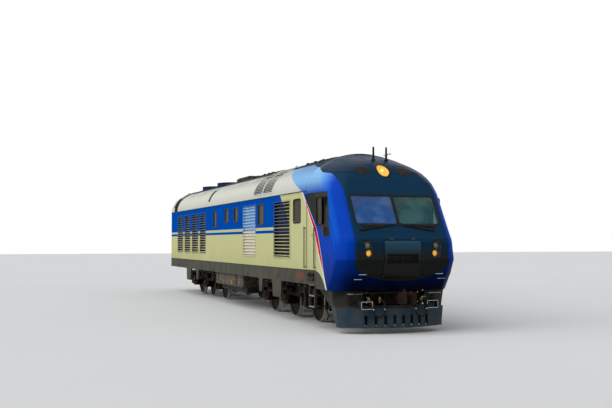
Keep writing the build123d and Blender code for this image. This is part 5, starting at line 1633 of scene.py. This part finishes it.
def desk_pieces():
    """Displays, levers and buttons of the driver's desk."""
    screens, faces, levers = [], [], []
    for x in (-0.95, -0.6, 0.55, 0.9):
        screens.append(brick((x - 0.14, 20.3, 2.28), (x + 0.14, 20.36, 2.47), 0.012))
        faces.append(brick((x - 0.115, 20.294, 2.3), (x + 0.115, 20.301, 2.45), 0.003))
    handle = [
        (0, 0.03), (0.01, 0.03), (0.012, 0.009), (0.1, 0.008), (0.105, 0.02), (0.13, 0.022),
        (0.14, 0.01),
    ]
    for x in (-0.8, -0.45, 0.7):
        levers.append(lathe(handle, at(x, 20.14, 2.2), (0, 0.2, 1), 14))
    button = [(0, 0.014), (0.006, 0.014), (0.016, 0.01)]
    for x in np.linspace(-1.0, 1.0, 13):
        levers.append(lathe(button, at(x, 20.22, 2.235), UP, 10))
    piece("desk_displays", screens, dark_plastic)
    piece("desk_display_faces", faces, display_glow)
    piece("desk_levers", levers, dark_plastic)


def door_pieces():
    """Handles and locks of the cab doors and the rear door's window, riding with them."""
    for side, name in ((-1, "left"), (1, "right")):
        x = side * HALF_WIDTH
        out = x + side * 0.035
        plate = brick((x - side * 0.01, 19.3, 2.36), (x + side * 0.006, 19.38, 2.54), 0.006)
        lever = run([(x, 19.34, 2.45), (out, 19.34, 2.45), (out, 19.24, 2.45)], 0.009, 0.015)
        keyhole = [(0, 0.013), (0.008, 0.013), (0.01, 0.008)]
        lock = lathe(keyhole, at(x + side * 0.005, 19.34, 2.39), (side, 0, 0), 14)
        piece("cab_door_handle_" + name, [plate, lever, lock], dark_plastic, "cab_door_" + name)
    s = REAR_Y - float(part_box("end_door")[1][1])
    handle = brick((0.24, s + 0.004, 2.3), (0.3, s - 0.008, 2.5), 0.006)
    handle += run([(0.27, s, 2.42), (0.27, s - 0.04, 2.42), (0.15, s - 0.04, 2.42)], 0.01, 0.015)
    piece("end_door_handle", handle, bright_steel, "end_door")
    seal = closed_pipe(rounded_loop((-0.2, 0.2), (2.7, 3.2), 0.05, s - 0.002), 0.012)
    piece("end_door_window_seal", seal, black_rubber, "end_door")
    pane = brick((-0.195, s + 0.002, 2.705), (0.195, s - 0.004, 3.195), 0.003)
    piece("end_door_window_pane", pane, body_glass, "end_door")


seat_pieces()
desk_pieces()
door_pieces()


# Rear end


def rear_pieces():
    """Folds of the gangway's bellows, tail lamps, rungs, rails and cables on the end wall."""
    low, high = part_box("gangway")
    left, right = float(low[0]), float(high[0])
    foot, head = float(low[2]) - RAIL_Z, float(high[2]) - RAIL_Z
    folds = [
        closed_pipe(rounded_loop((left, right), (foot, head), 0.06, s), 0.02)
        for s in (-0.035, -0.08, -0.125, -0.17, -0.215)
    ]
    piece("bellows_folds", folds, black_rubber)
    face = rounded_loop((left + 0.05, right - 0.05), (foot + 0.05, head - 0.05), 0.04, -0.262)
    piece("gangway_face_bar", closed_pipe(face, 0.008), bright_steel)
    case = [(0, 0.1), (0.01, 0.1), (0.03, 0.092), (0.055, 0.086), (0.06, 0.07)]
    lens = [(0.055, 0.072), (0.062, 0.07), (0.072, 0.05), (0.076, 0.015)]
    places = [at(-1.12, 0.0, height) for height in (1.78, 3.5)]
    pair("tail_lamp_cases", [lathe(case, place, BACK, 26) for place in places], black_paint)
    pair("tail_lamp_lenses", [lathe(lens, place, BACK, 26) for place in places], red_lens)
    rims = [ring(place + (0, 0.058, 0), BACK, 0.076, 0.006) for place in places]
    pair("tail_lamp_rims", rims, bright_steel)

    def staple(ends, out, radius, bend):
        """Bar that stands out from the end wall between two X and height ends."""
        (xa, ha), (xb, hb) = ends
        corners = [(xa, 0.0, ha), (xa, -out, ha), (xb, -out, hb), (xb, 0.0, hb)]
        return run(corners, radius, bend)

    rungs = [staple(((0.78, h), (1.0, h)), 0.07, 0.011, 0.02) for h in np.arange(1.75, 3.5, 0.3)]
    piece("end_wall_rungs", rungs, rail_paint)
    rails = [
        staple(((-0.75, 1.7), (-0.75, 2.9)), 0.08, 0.014, 0.03),
        staple(((-1.35, 1.62), (-0.85, 1.62)), 0.08, 0.014, 0.03),
    ]
    pair("end_wall_rails", rails, rail_paint)
    post = brick((-1.485, 0.004, 1.56), (-1.415, -0.014, 3.6), 0.006)
    pair("end_wall_posts", post, body_gloss)
    cable = [(-0.4, 0.0, 3.75), (-0.4, -0.06, 3.72), (-0.6, -0.08, 3.5), (-0.72, -0.06, 3.4)]
    pair("end_wall_cables", run([*cable, (-0.72, 0.0, 3.38)], 0.016, 0.08, 10), black_rubber)


rear_pieces()
